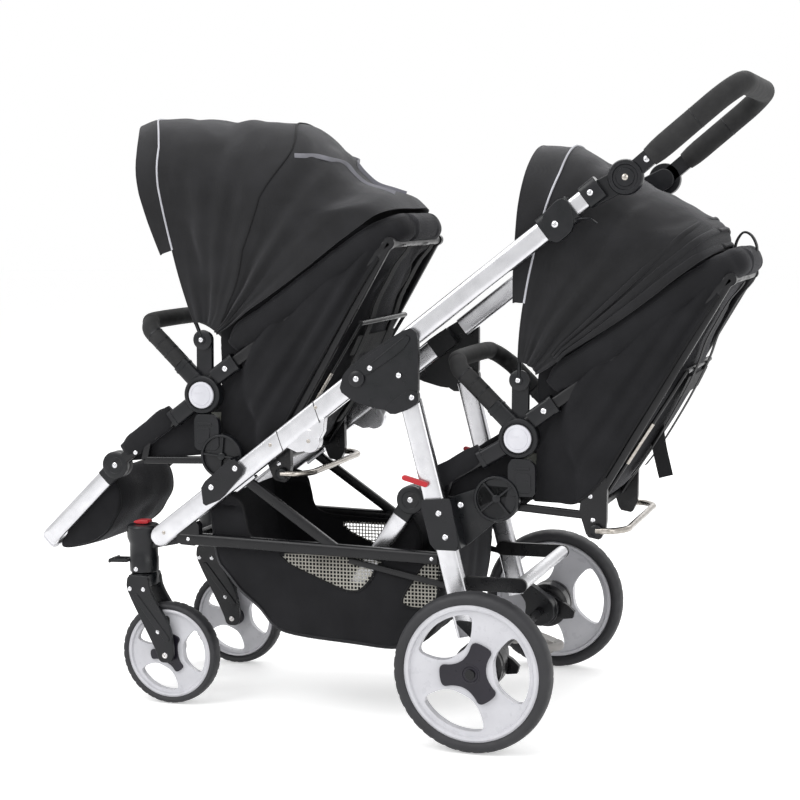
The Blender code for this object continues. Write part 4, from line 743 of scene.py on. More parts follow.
def handle():
    heading = Vector((math.cos(HANDLE_ANGLE), 0.0, math.sin(HANDLE_ANGLE)))
    normal = Vector((-heading.z, 0.0, heading.x))
    root = at(*HINGE)
    for side, word in SIDES:
        y = side * TUBE_Y
        stem = flat_tube(on_tube(0.780), on_tube(0.952), 0.0295, y, 0.0158)
        make(f"handle_stem_{word}_look", stem, ALUMINIUM, "handle_stems", sharp=60,
             replaces=[f"handle_stem_{word}"], slot="satin_aluminium")
        hinge = Vector(HINGE)
        sleeve = bar(on_tube(0.946), on_tube(0.978), y, oval(0.0125, 0.0192, 36, 0.5))
        tongue = plate(bar_outline(on_tube(0.946), HINGE, 0.036, False, True, 18), side * 0.1563,
                       side * 0.1655)
        make(f"stem_socket_{word}", [sleeve, tongue], BLACK_PLASTIC, "handle_stems", bevel=0.0016,
             slot="black_plastic")
        rivets(f"socket_bolt_{word}", [on_tube(0.960, 0.001)], 0.0050, side, TUBE_Y + 0.0122, "handle_stems")

        disc = turning([(0.0272, 0.0), (0.0280, 0.003), (0.0280, 0.014), (0.0262, 0.0172), (0.0205, 0.0176),
                        (0.0190, 0.0150), (0.0150, 0.0150), (0.0140, 0.0168), (0.0010, 0.0168)],
                       at(*HINGE, side * 0.1665), sign=side, segments=56)
        teeth = []
        for k in range(24):
            a = math.tau * k / 24
            spot = at(hinge.x + 0.0245 * math.cos(a), hinge.y + 0.0245 * math.sin(a), side * 0.1838)
            teeth.append(turning([(0.0011, 0.0), (0.0011, 0.0007)], spot, segments=8, sign=side))
        arm = plate(bar_outline(HINGE, (hinge.x + heading.x * 0.058, hinge.y + heading.z * 0.058), 0.0265,
                                False, False), side * 0.1665, side * 0.1805)
        make(f"handle_hinge_{word}", [disc, arm] + teeth, BLACK_PLASTIC, "handle", bevel=0.0012,
             slot="black_plastic")
        rivets(f"handle_bolts_{word}", [(hinge.x + heading.x * 0.043, hinge.y + heading.z * 0.043)], 0.0052,
               side, 0.1803, "handle")
        rivets(f"hinge_screw_{word}", [HINGE], 0.0052, side, 0.1832, "handle", STEEL)

    arm_y = 0.172
    reach = 0.2256
    corner = 0.055
    path = []
    start = root + heading * 0.048 + Vector((0, -arm_y, 0))
    near = root + heading * (reach - corner) + Vector((0, -arm_y, 0))
    path += [start.lerp(near, t / 8) for t in range(8)]
    bend = root + heading * (reach - corner) + Vector((0, -arm_y + corner, 0))
    path += [bend + (heading * math.sin(a) - Vector((0, 1, 0)) * math.cos(a)) * corner
             for a in [math.pi / 2 * k / 10 for k in range(10)]]
    top_left = root + heading * reach + Vector((0, -arm_y + corner, 0))
    path += [top_left.lerp(root + heading * reach, t / 8) for t in range(8)]
    path = path + [root + heading * reach] + [Vector((p.x, -p.y, p.z)) for p in reversed(path)]
    scales = []
    for k, p in enumerate(path):
        ends = min(k, len(path) - 1 - k)
        scales.append(0.86 if ends == 0 else (0.97 if ends == 1 else 1.0 + 0.012 * noise.noise(p * 30)))
    grip = sweep(path, oval(0.0182, 0.0182, 28), side=normal, scales=scales)
    make("handle_grip", [grip], FOAM, "handle", sharp=70, replaces=["handle_bar"], slot="black_foam")
    seams = []
    for spot in (6, len(path) - 7):
        ring = [path[spot] + (Vector((0, 1, 0)) * math.cos(a) + normal * math.sin(a)) * 0.0184
                for a in [math.tau * k / 24 for k in range(25)]]
        seams.append(round_pipe(ring, 0.0008, 6))
    make("grip_seams", seams, BLACK_PLASTIC, "handle")


def rear_legs():
    for side, word in SIDES:
        y = side * TUBE_Y
        top_z, low_z = 0.548, 0.160
        leg = flat_tube((leg_x(low_z), low_z), (leg_x(top_z), top_z), 0.035, y)
        make(f"rear_leg_{word}_look", leg, ALUMINIUM, "chassis", sharp=60, replaces=[f"rear_leg_{word}"],
             slot="satin_aluminium")
        boss = [plate(softened([(leg_x(0.182) - 0.021, 0.188), (leg_x(0.182) + 0.021, 0.186), (0.026, 0.150),
                                (0.028, 0.118), (0.0, 0.100), (-0.028, 0.118), (-0.024, 0.150)], 2, 0.2),
                      side * 0.1563, side * 0.1775),
                turning([(0.030, 0.0), (0.030, 0.010), (0.027, 0.0125)], at(0.0, AXLE_Z, side * 0.1758),
                        sign=side)]
        make(f"axle_boss_{word}", boss, BLACK_PLASTIC, "chassis", bevel=0.0018, slot="black_plastic")
        head = plate(bar_outline((leg_x(0.530), 0.530), LEG_TOP, 0.026, False, True), side * 0.1575,
                     side * 0.1745)
        make(f"leg_head_{word}", [head], BLACK_PLASTIC, "chassis", bevel=0.0015, slot="black_plastic")


def rails():
    for side, word in SIDES:
        y = side * TUBE_Y
        rear = leg_x(0.287) - 0.0185
        rail = sweep([at(-0.556, 0.3002, y), at(-0.46, 0.2975, y), at(rear, 0.2868, y)],
                     oval(0.0092, 0.0104, 28, 0.55))
        brace = bar((-0.4305, 0.405), (-0.268, 0.292), y, oval(0.0058, 0.0088, 24, 0.5))
        lug = plate(softened([(-0.562, 0.290), (-0.520, 0.288), (-0.520, 0.334), (-0.545, 0.318),
                              (-0.562, 0.308)], 1, 0.2), side * 0.158, side * 0.174)
        make(f"side_rail_{word}_look", [rail, brace, lug], BLACK_METAL, "chassis", sharp=50,
             replaces=[f"side_rail_{word}"], slot="black_paint")
        rivets(f"rail_rivets_{word}", [(-0.540, 0.300), (rear - 0.010, 0.287)], 0.0034, side,
               0.1750, "chassis")
    front = turning([(0.0078, -0.1555), (0.0094, -0.154), (0.0094, 0.154), (0.0078, 0.1555)],
                    at(-0.536, 0.300), segments=28)
    make("front_cross_tube_look", [front], BLACK_METAL, "chassis", replaces=["front_cross_tube"],
         slot="black_paint")


def rear_parts():
    bar = turning([(0.0095, -0.152), (0.011, -0.150), (0.011, 0.150), (0.0095, 0.152)], at(0.045, 0.245),
                  segments=32)
    plates = []
    for side in (-1, 1):
        plates.append(plate(bar_outline((leg_x(0.245) - 0.006, 0.245), (0.045, 0.245), 0.024, True, True),
                            side * 0.148, side * 0.1556))
    make("rear_cross_tube_look", [bar], ALUMINIUM, "chassis", bevel=0.001,
         replaces=["rear_cross_tube"], slot="satin_aluminium")
    make("cross_tube_plates", plates, BLACK_METAL, "chassis", bevel=0.001, slot="black_paint")
    parts = [turning([(0.0076, -0.2995), (0.0080, -0.2985), (0.0080, 0.2985), (0.0076, 0.2995)],
                     at(0.0, AXLE_Z), segments=28)]
    for side in (-1, 1):
        parts.append(turning([(0.0310, 0.0), (0.0360, 0.002), (0.0400, 0.006), (0.0400, 0.030),
                              (0.0385, 0.032), (0.0385, 0.036), (0.0400, 0.038), (0.0400, 0.046),
                              (0.0335, 0.0495)],
                             at(0.0, AXLE_Z, side * 0.2055), sign=side, segments=56))
        parts.append(plate(softened([(-0.020, 0.118), (0.052, 0.108), (0.058, 0.128), (-0.006, 0.164)], 1,
                                    0.2),
                           side * 0.196, side * 0.2065))
    make("rear_axle_look", parts, BLACK_METAL, "chassis", bevel=0.001, replaces=["rear_axle"],
         slot="black_paint")
    arm = plate(bar_outline((0.0, AXLE_Z), (0.060, 0.110), 0.022, False, True), -0.014, 0.014)
    sleeve = turning([(0.0150, -0.020), (0.017, -0.018), (0.017, 0.018), (0.0150, 0.020)], at(0.0, AXLE_Z))
    pad = turning([(0.0190, -0.0065), (0.0220, -0.0035), (0.0220, 0.0040), (0.0195, 0.0072), (0.0120, 0.0080),
                   (0.0010, 0.0072)], at(0.060, 0.110), axis="Z", segments=40)
    ribs = [sweep([at(0.060 + dx, 0.1178, -0.013), at(0.060 + dx, 0.1178, 0.013)], oval(0.0010, 0.0010, 8),
                  side=(1, 0, 0)) for dx in (-0.010, -0.005, 0.0, 0.005, 0.010)]
    make("brake_pedal_look", [arm, sleeve, pad] + ribs, GREY_PLASTIC, "brake", bevel=0.0012,
         replaces=["brake_pedal"], slot="grey_plastic")


def fold_levers():
    for side, word in SIDES:
        z = 0.416
        pivot = (leg_x(z) - 0.004, z - 0.004)
        tip = (pivot[0] - 0.036, pivot[1] + 0.010)
        lever = plate(bar_outline(tip, pivot, 0.0088, True, True), side * 0.1763, side * 0.184)
        make(f"fold_lever_{word}_look", [lever], RED_PLASTIC, f"fold_lever_{word}", bevel=0.0012,
             replaces=[f"fold_lever_{word}"], slot="red_plastic")


# Adaptors between chassis and seats

def fan(centre, side, turn):
    """A ribbed round cup: rim, cross ribs and a sunken floor."""
    radius, y_face = FAN_RADIUS, side * FAN_Y
    rim_part = turning([(radius, -0.010), (radius, 0.001), (radius - 0.0012, 0.003), (radius - 0.0046, 0.003),
                        (radius - 0.0056, -0.003), (0.001, -0.003)], at(*centre, y_face), sign=side,
                       segments=56)
    parts = [rim_part]
    for k in range(2):
        a = turn + math.pi / 2 * k
        c, s = math.cos(a) * (radius - 0.004), math.sin(a) * (radius - 0.004)
        parts.append(plate(bar_outline((centre[0] - c, centre[1] - s), (centre[0] + c, centre[1] + s),
                                       0.0034),
                           y_face - side * 0.004, y_face + side * 0.0018))
    parts.append(turning([(0.007, -0.003), (0.007, 0.0018), (0.0055, 0.0026)], at(*centre, y_face), sign=side,
                         segments=24))
    return parts


COLUMNS = {
    "front": {"middle": 0.008, "shoulder": -0.018, "slot": (-0.016, 0.010, -0.019),
              "panel": [(-0.017, -0.023), (0.008, -0.023), (0.004, -0.050), (-0.017, -0.050)],
              "fan": (0.036, -0.105), "turn": math.radians(84)},
    "rear": {"middle": 0.006, "shoulder": -0.016, "slot": (-0.010, 0.014, -0.018),
             "panel": [(-0.012, -0.023), (0.016, -0.023), (0.016, -0.056), (-0.006, -0.056)],
             "fan": (-0.036, -0.100), "turn": math.radians(40)},
}


def column(seat, side):
    """The upright of an adaptor with its slot, panel and ribbed cup, and the cup's centre."""
    data, hub = COLUMNS[seat], SEATS[seat]["hub"]
    x, top = hub[0] + data["middle"], hub[1] - 0.0333

    def upright(outline, faces_y):
        return plate(outline, *(side * y for y in faces_y))

    def near(points):
        return [(x + u, top + v) for u, v in points]

    outline = near([(data["shoulder"], 0.0), (-0.023, -0.010), (-0.023, -0.062), (0.023, -0.062),
                    (0.023, -0.010), (0.012, 0.0)])
    start, end, low = data["slot"]
    raised = near([(start, -0.014), (end, -0.014), (end, low), (start, low)])
    centre = (hub[0] + data["fan"][0], hub[1] + data["fan"][1])
    parts = [upright(softened(outline, 1, 0.12), COLUMN_Y), upright(raised, RAISED_Y),
             upright(softened(near(data["panel"]), 1, 0.15), RAISED_Y)]
    return parts + fan(centre, side, data["turn"]), centre


def above_tube(x):
    """The height just above the lower tube at a place along it."""
    return TUBE_END[1] + (x - TUBE_END[0]) * math.tan(TUBE_ANGLE) + 0.018 / math.cos(TUBE_ANGLE)


def front_adaptors():
    for side, word in SIDES:
        parts, centre = column("front", side)
        left, right = centre[0] - 0.026, centre[0] + 0.034
        low, high = above_tube(left), above_tube(right)
        parts.append(plate([(left, low + 0.0006), (right, high + 0.0006), (right - 0.006, high + 0.009),
                            (left + 0.004, low + 0.010)], side * 0.1416, side * 0.1816))
        parts.append(plate(softened([(left - 0.001, low + 0.007), (left + 0.003, low - 0.031),
                                     (centre[0] + 0.010, above_tube(centre[0]) - 0.037),
                                     (right + 0.023, high - 0.012), (right, high + 0.011)], 1, 0.14),
                           *(side * y for y in CLAMP_Y)))
        make(f"front_adaptor_{word}_look", parts, BLACK_PLASTIC, "chassis", bevel=0.0013,
             replaces=[f"front_adaptor_{word}"], slot="black_plastic")
        rivets(f"front_adaptor_rivets_{word}", [(-0.4905, 0.3935), (-0.4455, 0.4275)], 0.0050, side, 0.1830,
               "chassis")


def rear_adaptors():
    edge = 0.018
    top, low = 0.386, 0.304
    behind_top, behind_low = leg_x(top) + edge + 0.0006, leg_x(low) + edge + 0.0006
    ahead_top, ahead_low = leg_x(top) - edge - 0.004, leg_x(low) - edge - 0.004
    for side, word in SIDES:
        parts, centre = column("rear", side)
        parts.append(plate([(behind_top, top), (behind_low, low), (behind_low + 0.012, low + 0.004),
                            (centre[0] + 0.012, centre[1] - 0.026), (centre[0] + 0.020, centre[1] + 0.020),
                            (centre[0] - 0.016, centre[1] + 0.022)], side * 0.1416, side * 0.1500))
        parts.append(plate([(behind_top, top), (behind_low, low), (behind_low + 0.010, low + 0.004),
                            (behind_top + 0.012, top)], side * 0.1416, side * 0.1816))
        parts.append(plate(softened([(ahead_top, top), (ahead_low, low), (behind_low + 0.008, low),
                                     (behind_top + 0.013, top + 0.004), (behind_top, top + 0.004)], 1, 0.12),
                           *(side * y for y in CLAMP_Y)))
        make(f"rear_adaptor_{word}_look", parts, BLACK_PLASTIC, "chassis", bevel=0.0013,
             replaces=[f"rear_adaptor_{word}"], slot="black_plastic")
        rivets(f"rear_adaptor_rivets_{word}", [(-0.084, 0.365), (-0.046, 0.381), (-0.073, 0.326)], 0.0050,
               side, 0.1830, "chassis")


# Cloth shapes

def between(table, value):
    """Straight-line lookup in a table of (key, result) with rising keys."""
    if value <= table[0][0]:
        return table[0][1]
    for (k0, r0), (k1, r1) in zip(table, table[1:]):
        if value <= k1:
            return r0 + (r1 - r0) * (value - k0) / (k1 - k0)
    return table[-1][1]


def ease(value):
    value = min(1.0, max(0.0, value))
    return value * value * (3 - 2 * value)


def net_of(rows):
    """A net of quads over rows of equal length."""
    count = len(rows[0])
    vertices = [p for row in rows for p in row]
    faces = [(r * count + k, r * count + k + 1, (r + 1) * count + k + 1, (r + 1) * count + k)
             for r in range(len(rows) - 1) for k in range(count - 1)]
    return vertices, faces


def skin_of(rings):
    """A closed skin over rings of equal length."""
    return [p for ring in rings for p in ring], tube_faces(len(rings), len(rings[0]))


def bake(piece):
    """Applies a piece's modifiers."""
    bpy.context.view_layer.update()
    mesh = bpy.data.meshes.new_from_object(piece.evaluated_get(bpy.context.evaluated_depsgraph_get()))
    piece.modifiers.clear()
    piece.data = mesh
    mesh.shade_smooth()
    mesh.set_sharp_from_angle(angle=math.radians(62))
    return piece


def cloth(name, shapes, material, body=None, wall=0.0016, smoother=1, **more):
    """A sheet of cloth with a real thickness."""
    piece = make(name, shapes, material, sharp=180, **more)
    if smoother:
        piece.modifiers.new("smooth", "SUBSURF").levels = smoother
    thick = piece.modifiers.new("wall", "SOLIDIFY")
    thick.thickness = wall
    thick.offset = 0
    bake(piece)
    if body:
        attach(piece, body)
    return piece


def ripple(x, y, z, size):
    return size * noise.noise(Vector((x, y, z)))


def tape(path, width, thick, side):
    """A flat band along a path, its width lying along side."""
    return sweep(path, oval(width / 2, thick / 2, 16, 0.35), side=side)


def swelled(name, shapes, size, cap):
    """A padded form: evenly meshed, then blown up as cloth by at most cap."""
    piece = make(name, shapes, CLOTH, sharp=180)
    even = piece.modifiers.new("even", "REMESH")
    even.mode = "VOXEL"
    even.voxel_size = size
    bake(piece)
    rest = [v.co.copy() for v in piece.data.vertices]
    step = piece.modifiers.new("swell", "CLOTH")
    step.settings.quality = 4
    step.settings.use_pressure = True
    step.settings.uniform_pressure_force = 4.0
    step.settings.effector_weights.gravity = 0.0
    step.point_cache.frame_start = 1
    step.point_cache.frame_end = 20
    for number in range(1, 21):
        bpy.context.scene.frame_set(number)
    moved = piece.evaluated_get(bpy.context.evaluated_depsgraph_get()).data
    places = [v.co.copy() for v in moved.vertices]
    piece.modifiers.clear()
    for vertex, old, new in zip(piece.data.vertices, rest, places):
        way = new - old
        vertex.co = old + way * min(1.0, cap / max(way.length, 1e-9))
    return piece


# Seats

SEATS = {
    "front": {"hub": (-0.519, 0.548), "lean": math.radians(3.0), "drop": math.radians(44)},
    "rear": {"hub": (0.042, 0.488), "lean": math.radians(-3.0), "drop": math.radians(56)},
}
FOOT_HINGE = (-0.183, -0.120)
BACK_TOP = (0.340, 0.258)
LOWER_BACK = (0.118, -0.118)
HOOP_BOLT = (0.1355, -0.140)
RAIL_START = (-0.125, -0.112)
BUMPER_ROOT = (-0.042, 0.053)
BUMPER_CORNER = (-0.092, 0.103)
BUMPER_FRONT = (-0.117, 0.124)


def seat_place(seat, point, leaning=False):
    """Side-view place of a point given from a seat's hub."""
    hub = SEATS[seat]["hub"]
    if leaning:
        point = turned(point, SEATS[seat]["lean"])
    return (hub[0] + point[0], hub[1] + point[1])


def on_seat(seat, point, y, leaning=False):
    return at(*seat_place(seat, point, leaning), y)


def toward(start, end, reach):
    """The place a given reach along the line from one side-view point to another."""
    return Vector(start) + (Vector(end) - Vector(start)).normalized() * reach


def seat_frame(seat):
    body = f"{seat}_seat"
    hub = seat_place(seat, (0, 0))
    foot = seat_place(seat, FOOT_HINGE, True)
    mid = seat_place(seat, (FOOT_HINGE[0] * 0.62, FOOT_HINGE[1] * 0.62), True)
    rail = seat_place(seat, RAIL_START, True)
    low = seat_place(seat, LOWER_BACK, True)
    hoop = seat_place(seat, HOOP_BOLT, True)
    top = seat_place(seat, BACK_TOP)
    pivot = seat_place(seat, CANOPY_PIVOT)
    bars, mouldings, fine, painted_highlights = [], [], [], []
    for side, word in SIDES:
        y = side * FRAME_Y
        shoulder = (hub[0] - 0.004, hub[1] + 0.013)
        for start, end, wide in ((foot, hub, 0.020), (shoulder, top, 0.020), (rail, low, 0.013),
                                 (rail, mid, 0.013), (low, top, 0.013)):
            bars.append(bar(start, end, y, oval(0.0058, wide / 2, 28, 0.5)))
        bars.append(plate(disc_outline(top, 0.0100), side * 0.1285, side * 0.1395))
        bars.append(plate(softened([(low[0] - 0.014, low[1] + 0.012), (hoop[0] - 0.016, hoop[1] - 0.012),
                                    (hoop[0] + 0.006, hoop[1] - 0.016), (hoop[0] + 0.016, hoop[1] + 0.004),
                                    (low[0] + 0.034, low[1] + 0.062), (low[0] + 0.012, low[1] + 0.072)], 1,
                                   0.12),
                          side * 0.1285, side * 0.1400))
        mouldings.append(turning([(0.0235, 0.0), (0.0240, 0.0015), (0.0240, 0.0105), (0.0220, 0.0118),
                                  (0.0150, 0.0118), (0.0140, 0.0108), (0.0005, 0.0108)],
                                 at(*foot, side * CUP_Y), sign=side))
        mouldings.append(turning([(0.0325, 0.0), (0.0330, 0.0010), (0.0330, 0.0206), (0.0310, 0.0228),
                                  (0.0266, 0.0228), (0.0258, 0.0214), (0.0250, 0.0214), (0.0244, 0.0226),
                                  (0.0238, 0.0226), (0.0236, 0.0150), (0.0005, 0.0150)],
                                 at(*hub, side * CUP_Y), sign=side, segments=64))
        mouldings.append(plate(bar_outline(hub, pivot, 0.028, False, True, 16), side * 0.1286,
                               side * SOCKET_Y))
        mouth = seat_place(seat, BUMPER_ROOT)
        way = Vector((BUMPER_CORNER[0] - BUMPER_ROOT[0], BUMPER_CORNER[1] - BUMPER_ROOT[1])).normalized()
        inner = (mouth[0] - way.x * 0.045, mouth[1] - way.y * 0.045)
        mouldings.append(bar(inner, mouth, side * SOCKET_Y, oval(0.0108, 0.0148, 32, 0.45)))
        for along in (0.006, 0.034):
            a = (mouth[0] - way.x * along, mouth[1] - way.y * along)
            b = (mouth[0] - way.x * (along + 0.004), mouth[1] - way.y * (along + 0.004))
            fine.append(bar(a, b, side * SOCKET_Y, oval(0.0116, 0.0156, 32, 0.45)))
        for start, end, wide in ((shoulder, top, 0.0295), (hub, foot, 0.0285)):
            a, b, c = [toward(start, end, reach) for reach in (0.028, 0.078, 0.070)]
            mouldings.append(bar(a, b, y, oval(0.0098, wide / 2, 32, 0.42)))
            fine.append(bar(c, b, y, oval(0.0108, wide / 2 + 0.0012, 32, 0.42)))
        bolt = toward(shoulder, top, 0.056)
        rivets(f"{seat}_sleeve_bolts_{word}", [(bolt.x, bolt.y)], 0.0050, side, 0.1436, body)
        bolt = toward(hub, foot, 0.054)
        rivets(f"{seat}_rail_bolts_{word}",
               [(bolt.x - 0.004, bolt.y - 0.004), seat_place(seat, (-0.140, -0.098), True)], 0.0042, side,
               0.1400, body)
        rivets(f"{seat}_foot_screws_{word}", [foot], 0.0052, side, 0.1390, body)
        rivets(f"{seat}_plate_bolts_{word}",
               [(low[0] + 0.006, low[1] + 0.032), (low[0] + 0.022, low[1] + 0.058),
                (hoop[0] - 0.006, hoop[1] + 0.016)],
               0.0040, side, 0.1400, body)
        a, b = (low[0] + 0.006, low[1] - 0.002), (low[0] + 0.158, low[1] + 0.236)
        bars.append(bar(a, b, side * BACK_ROD_Y, oval(0.0032, 0.0032, 14)))
        # Painted highlight: a short steel sleeve laid over the middle of the black back rod stands in for the
        # shine along it; it is no separate wire.
        c, d = (low[0] + 0.062, low[1] + 0.085), (low[0] + 0.104, low[1] + 0.151)
        painted_highlights.append(bar(c, d, side * BACK_ROD_Y, oval(0.0038, 0.0038, 14)))
    make(f"{seat}_seat_bars", bars, BLACK_METAL, body, sharp=50, replaces=[f"{seat}_seat_frame"],
         slot="black_paint")
    make(f"{seat}_seat_mouldings", mouldings, BLACK_PLASTIC, body, bevel=0.0012, slot="black_plastic")
    make(f"{seat}_seat_bands", fine, BLACK_PLASTIC, body, bevel=0.0006, slot="black_plastic")
    make(f"{seat}_painted_back_rod_highlight", painted_highlights, STEEL, body, slot="steel_wire")
    rods = []
    for place, radius in ((top, 0.008), (rail, 0.007), (low, 0.007)):
        rods.append(turning([(radius, -0.132), (radius, 0.132)], at(*place), segments=28))
    rods.append(turning([(0.0045, -0.119), (0.0045, 0.119)], at(low[0] + 0.158, low[1] + 0.236), segments=20))
    make(f"{seat}_cross_rods", rods, BLACK_METAL, body, slot="black_paint")


def hub_buttons(seat):
    hub = seat_place(seat, (0, 0))
    for side, word in SIDES:
        button = turning([(0.0220, 0.0), (0.0230, 0.0010), (0.0230, 0.0082), (0.0222, 0.0094),
                          (0.0182, 0.0097), (0.0176, 0.0091), (0.0170, 0.0097), (0.0060, 0.0099),
                          (0.0005, 0.0099)],
                         at(*hub, side * 0.1441), sign=side, segments=64)
        tick = bar((hub[0] - 0.011, hub[1] + 0.004), (hub[0] + 0.002, hub[1] + 0.004), side * 0.1541,
                   oval(0.0004, 0.0009, 8))
        make(f"{seat}_hub_button_{word}_look", [button, tick], WHITE_PLASTIC, f"{seat}_hub_button_{word}",
             sharp=30, replaces=[f"{seat}_hub_button_{word}"], slot="white_plastic")


def bumper(seat):
    """The foam bar across a seat, with a ribbed grip on each arm."""
    hub = SEATS[seat]["hub"]
    way = Vector((BUMPER_CORNER[0] - BUMPER_ROOT[0], BUMPER_CORNER[1] - BUMPER_ROOT[1])).normalized()
    y = 0.1365
    arm = [(BUMPER_ROOT[0] + way.x * reach, BUMPER_ROOT[1] + way.y * reach, y)
           for reach in (0.0005, 0.036, 0.058)]
    arm += [(BUMPER_CORNER[0] - 0.009, BUMPER_CORNER[1] + 0.006, y - 0.006),
            (BUMPER_FRONT[0] + 0.006, BUMPER_FRONT[1] - 0.005, y - 0.026), (*BUMPER_FRONT, y - 0.056)]
    path = smooth(mirrored([at(hub[0] + x, hub[1] + z, -out) for x, z, out in arm]), 7)
    bar_shape = round_pipe(path, 0.0150, 26)
    make(f"{seat}_bumper_foam", [bar_shape], FOAM, f"{seat}_bumper", sharp=60,
         replaces=[f"{seat}_bumper_bar"], slot="black_foam")
    bands = []
    for index in (5, 11, 17, len(path) - 6, len(path) - 12, len(path) - 18):
        here, after = path[index], path[index + 1]
        bands.append(round_pipe([here, here.lerp(after, 0.5)], 0.0155, 26))
    make(f"{seat}_bumper_bands", bands, BLACK_PLASTIC, f"{seat}_bumper", slot="black_plastic")


def footrest(seat):
    """The flat tube bent round the calf pad, its hinge discs, and the padded pouch it carries."""
    drop = SEATS[seat]["drop"]
    hinge = seat_place(seat, FOOT_HINGE, True)
    heading = Vector((-math.cos(drop), 0.0, -math.sin(drop)))
    normal = Vector((-math.sin(drop), 0.0, math.cos(drop)))
    root = at(*hinge)
    arm_y, length, corner = 0.1207, 0.212, 0.022
    path = []
    start, near = root + heading * 0.010, root + heading * (length - corner)
    across = Vector((0, 1, 0))
    path += [start.lerp(near, t / 6) - across * arm_y for t in range(6)]
    bend = near - across * (arm_y - corner)
    path += [bend + (heading * math.sin(a) - across * math.cos(a)) * corner
             for a in [math.pi / 2 * k / 10 for k in range(11)]]
    path = mirrored(path)
    body = f"{seat}_footrest_set"
    tube = sweep(path, oval(0.0153, 0.0068, 32, 0.55), side=normal)
    make(f"{seat}_footrest_look", [tube], ALUMINIUM, body, sharp=60, replaces=[f"{seat}_footrest"],
         slot="satin_aluminium")
    ends = []
    for line in (path[10:17], path[-17:-10]):
        ends.append(sweep(line, oval(0.0157, 0.0072, 32, 0.6), side=normal))
    make(f"{seat}_footrest_corners", ends, WHITE_PLASTIC, body, sharp=60, slot="white_plastic")
    discs = [turning([(0.0225, 0.0), (0.0240, 0.0014), (0.0240, 0.0126), (0.0225, 0.0138)],
                     at(*hinge, side * 0.1139), sign=side) for side in (-1, 1)]
    arms = [sweep([root + heading * reach + across * (side * arm_y) for reach in (0.004, 0.040)],
                  oval(0.0162, 0.0072, 32, 0.5), side=normal) for side in (-1, 1)]
    make(f"{seat}_footrest_hinges", discs + arms, BLACK_PLASTIC, body, bevel=0.001, slot="black_plastic")

    along, up = (heading.x, heading.z), (normal.x, normal.z)

    pouch = [(0.028, 0.010), (0.070, 0.013), (0.120, 0.013), (0.172, 0.010), (0.178, -0.012), (0.200, -0.017),
             (0.208, -0.026), (0.190, -0.042), (0.150, -0.064), (0.112, -0.070), (0.084, -0.064),
             (0.056, -0.056), (0.036, -0.036), (0.026, -0.012)]
    outline = [(hinge[0] + along[0] * a + up[0] * u, hinge[1] + along[1] * a + up[1] * u) for a, u in pouch]
    curve = [(p.x, p.y) for p in smooth(outline, 4, closed=True)]
    centre = Vector((sum(p[0] for p in curve) / len(curve), sum(p[1] for p in curve) / len(curve)))
    half = 0.1125
    rows = []
    for k in range(25):
        share = -1 + 2 * k / 24
        edge = 1 - 0.13 * abs(share) ** 6 - 0.02 * (1 - share * share)
        row = []
        for index, (x, z) in enumerate(curve):
            p = centre + (Vector((x, z)) - centre) * edge
            fold = ripple(index * 0.16, share * 2.2, drop, 0.0048) * (1 - abs(share) ** 4)
            out = (Vector((x, z)) - centre).normalized()
            row.append(at(p.x + out.x * fold, p.y + out.y * fold, share * half))
        rows.append(row)
    pouch = skin_of(rows)
    pad = make(f"{seat}_calf_pouch", [pouch], CLOTH, body, sharp=75, replaces=[f"{seat}_calf_pad"],
               slot="black_fabric")
    pad.data.materials.append(LINING)
    for face in pad.data.polygons:
        if Vector(face.normal).dot(normal) > 0.75:
            face.material_index = 1
    seams = []
    for side in (-1, 1):
        ring = [at(centre.x + (x - centre.x) * 0.914, centre.y + (z - centre.y) * 0.914, side * half * 0.935)
                for x, z in curve]
        seams.append(round_pipe(ring + ring[:1], 0.0013, 6))
    make(f"{seat}_calf_seams", seams, WEBBING, body, slot="black_fabric")


def hoop(seat):
    bolt = seat_place(seat, HOOP_BOLT, True)
    y = 0.1453
    bends = [(0.0, 0.0), (0.014, 0.0), (0.026, 0.003), (0.040, 0.018), (0.0465, 0.034), (0.047, 0.060)]
    keys = mirrored([at(bolt[0] + back, bolt[1], -(y - inset)) for back, inset in bends])
    rod = round_pipe(smooth(keys, 5), 0.0053, 16)
    discs = [turning([(0.0095, -0.0045), (0.0100, -0.0035), (0.0100, 0.0030), (0.0085, 0.0040)],
                     at(bolt[0], bolt[1], side * y), sign=side, segments=32) for side in (-1, 1)]
    make(f"{seat}_hoop_look", [rod], STEEL, f"{seat}_hoop", sharp=50, replaces=[f"{seat}_recline_hoop"],
         slot="steel_wire")
    make(f"{seat}_hoop_discs", discs, BLACK_PLASTIC, f"{seat}_hoop", sharp=50, slot="black_plastic")


# Canopies

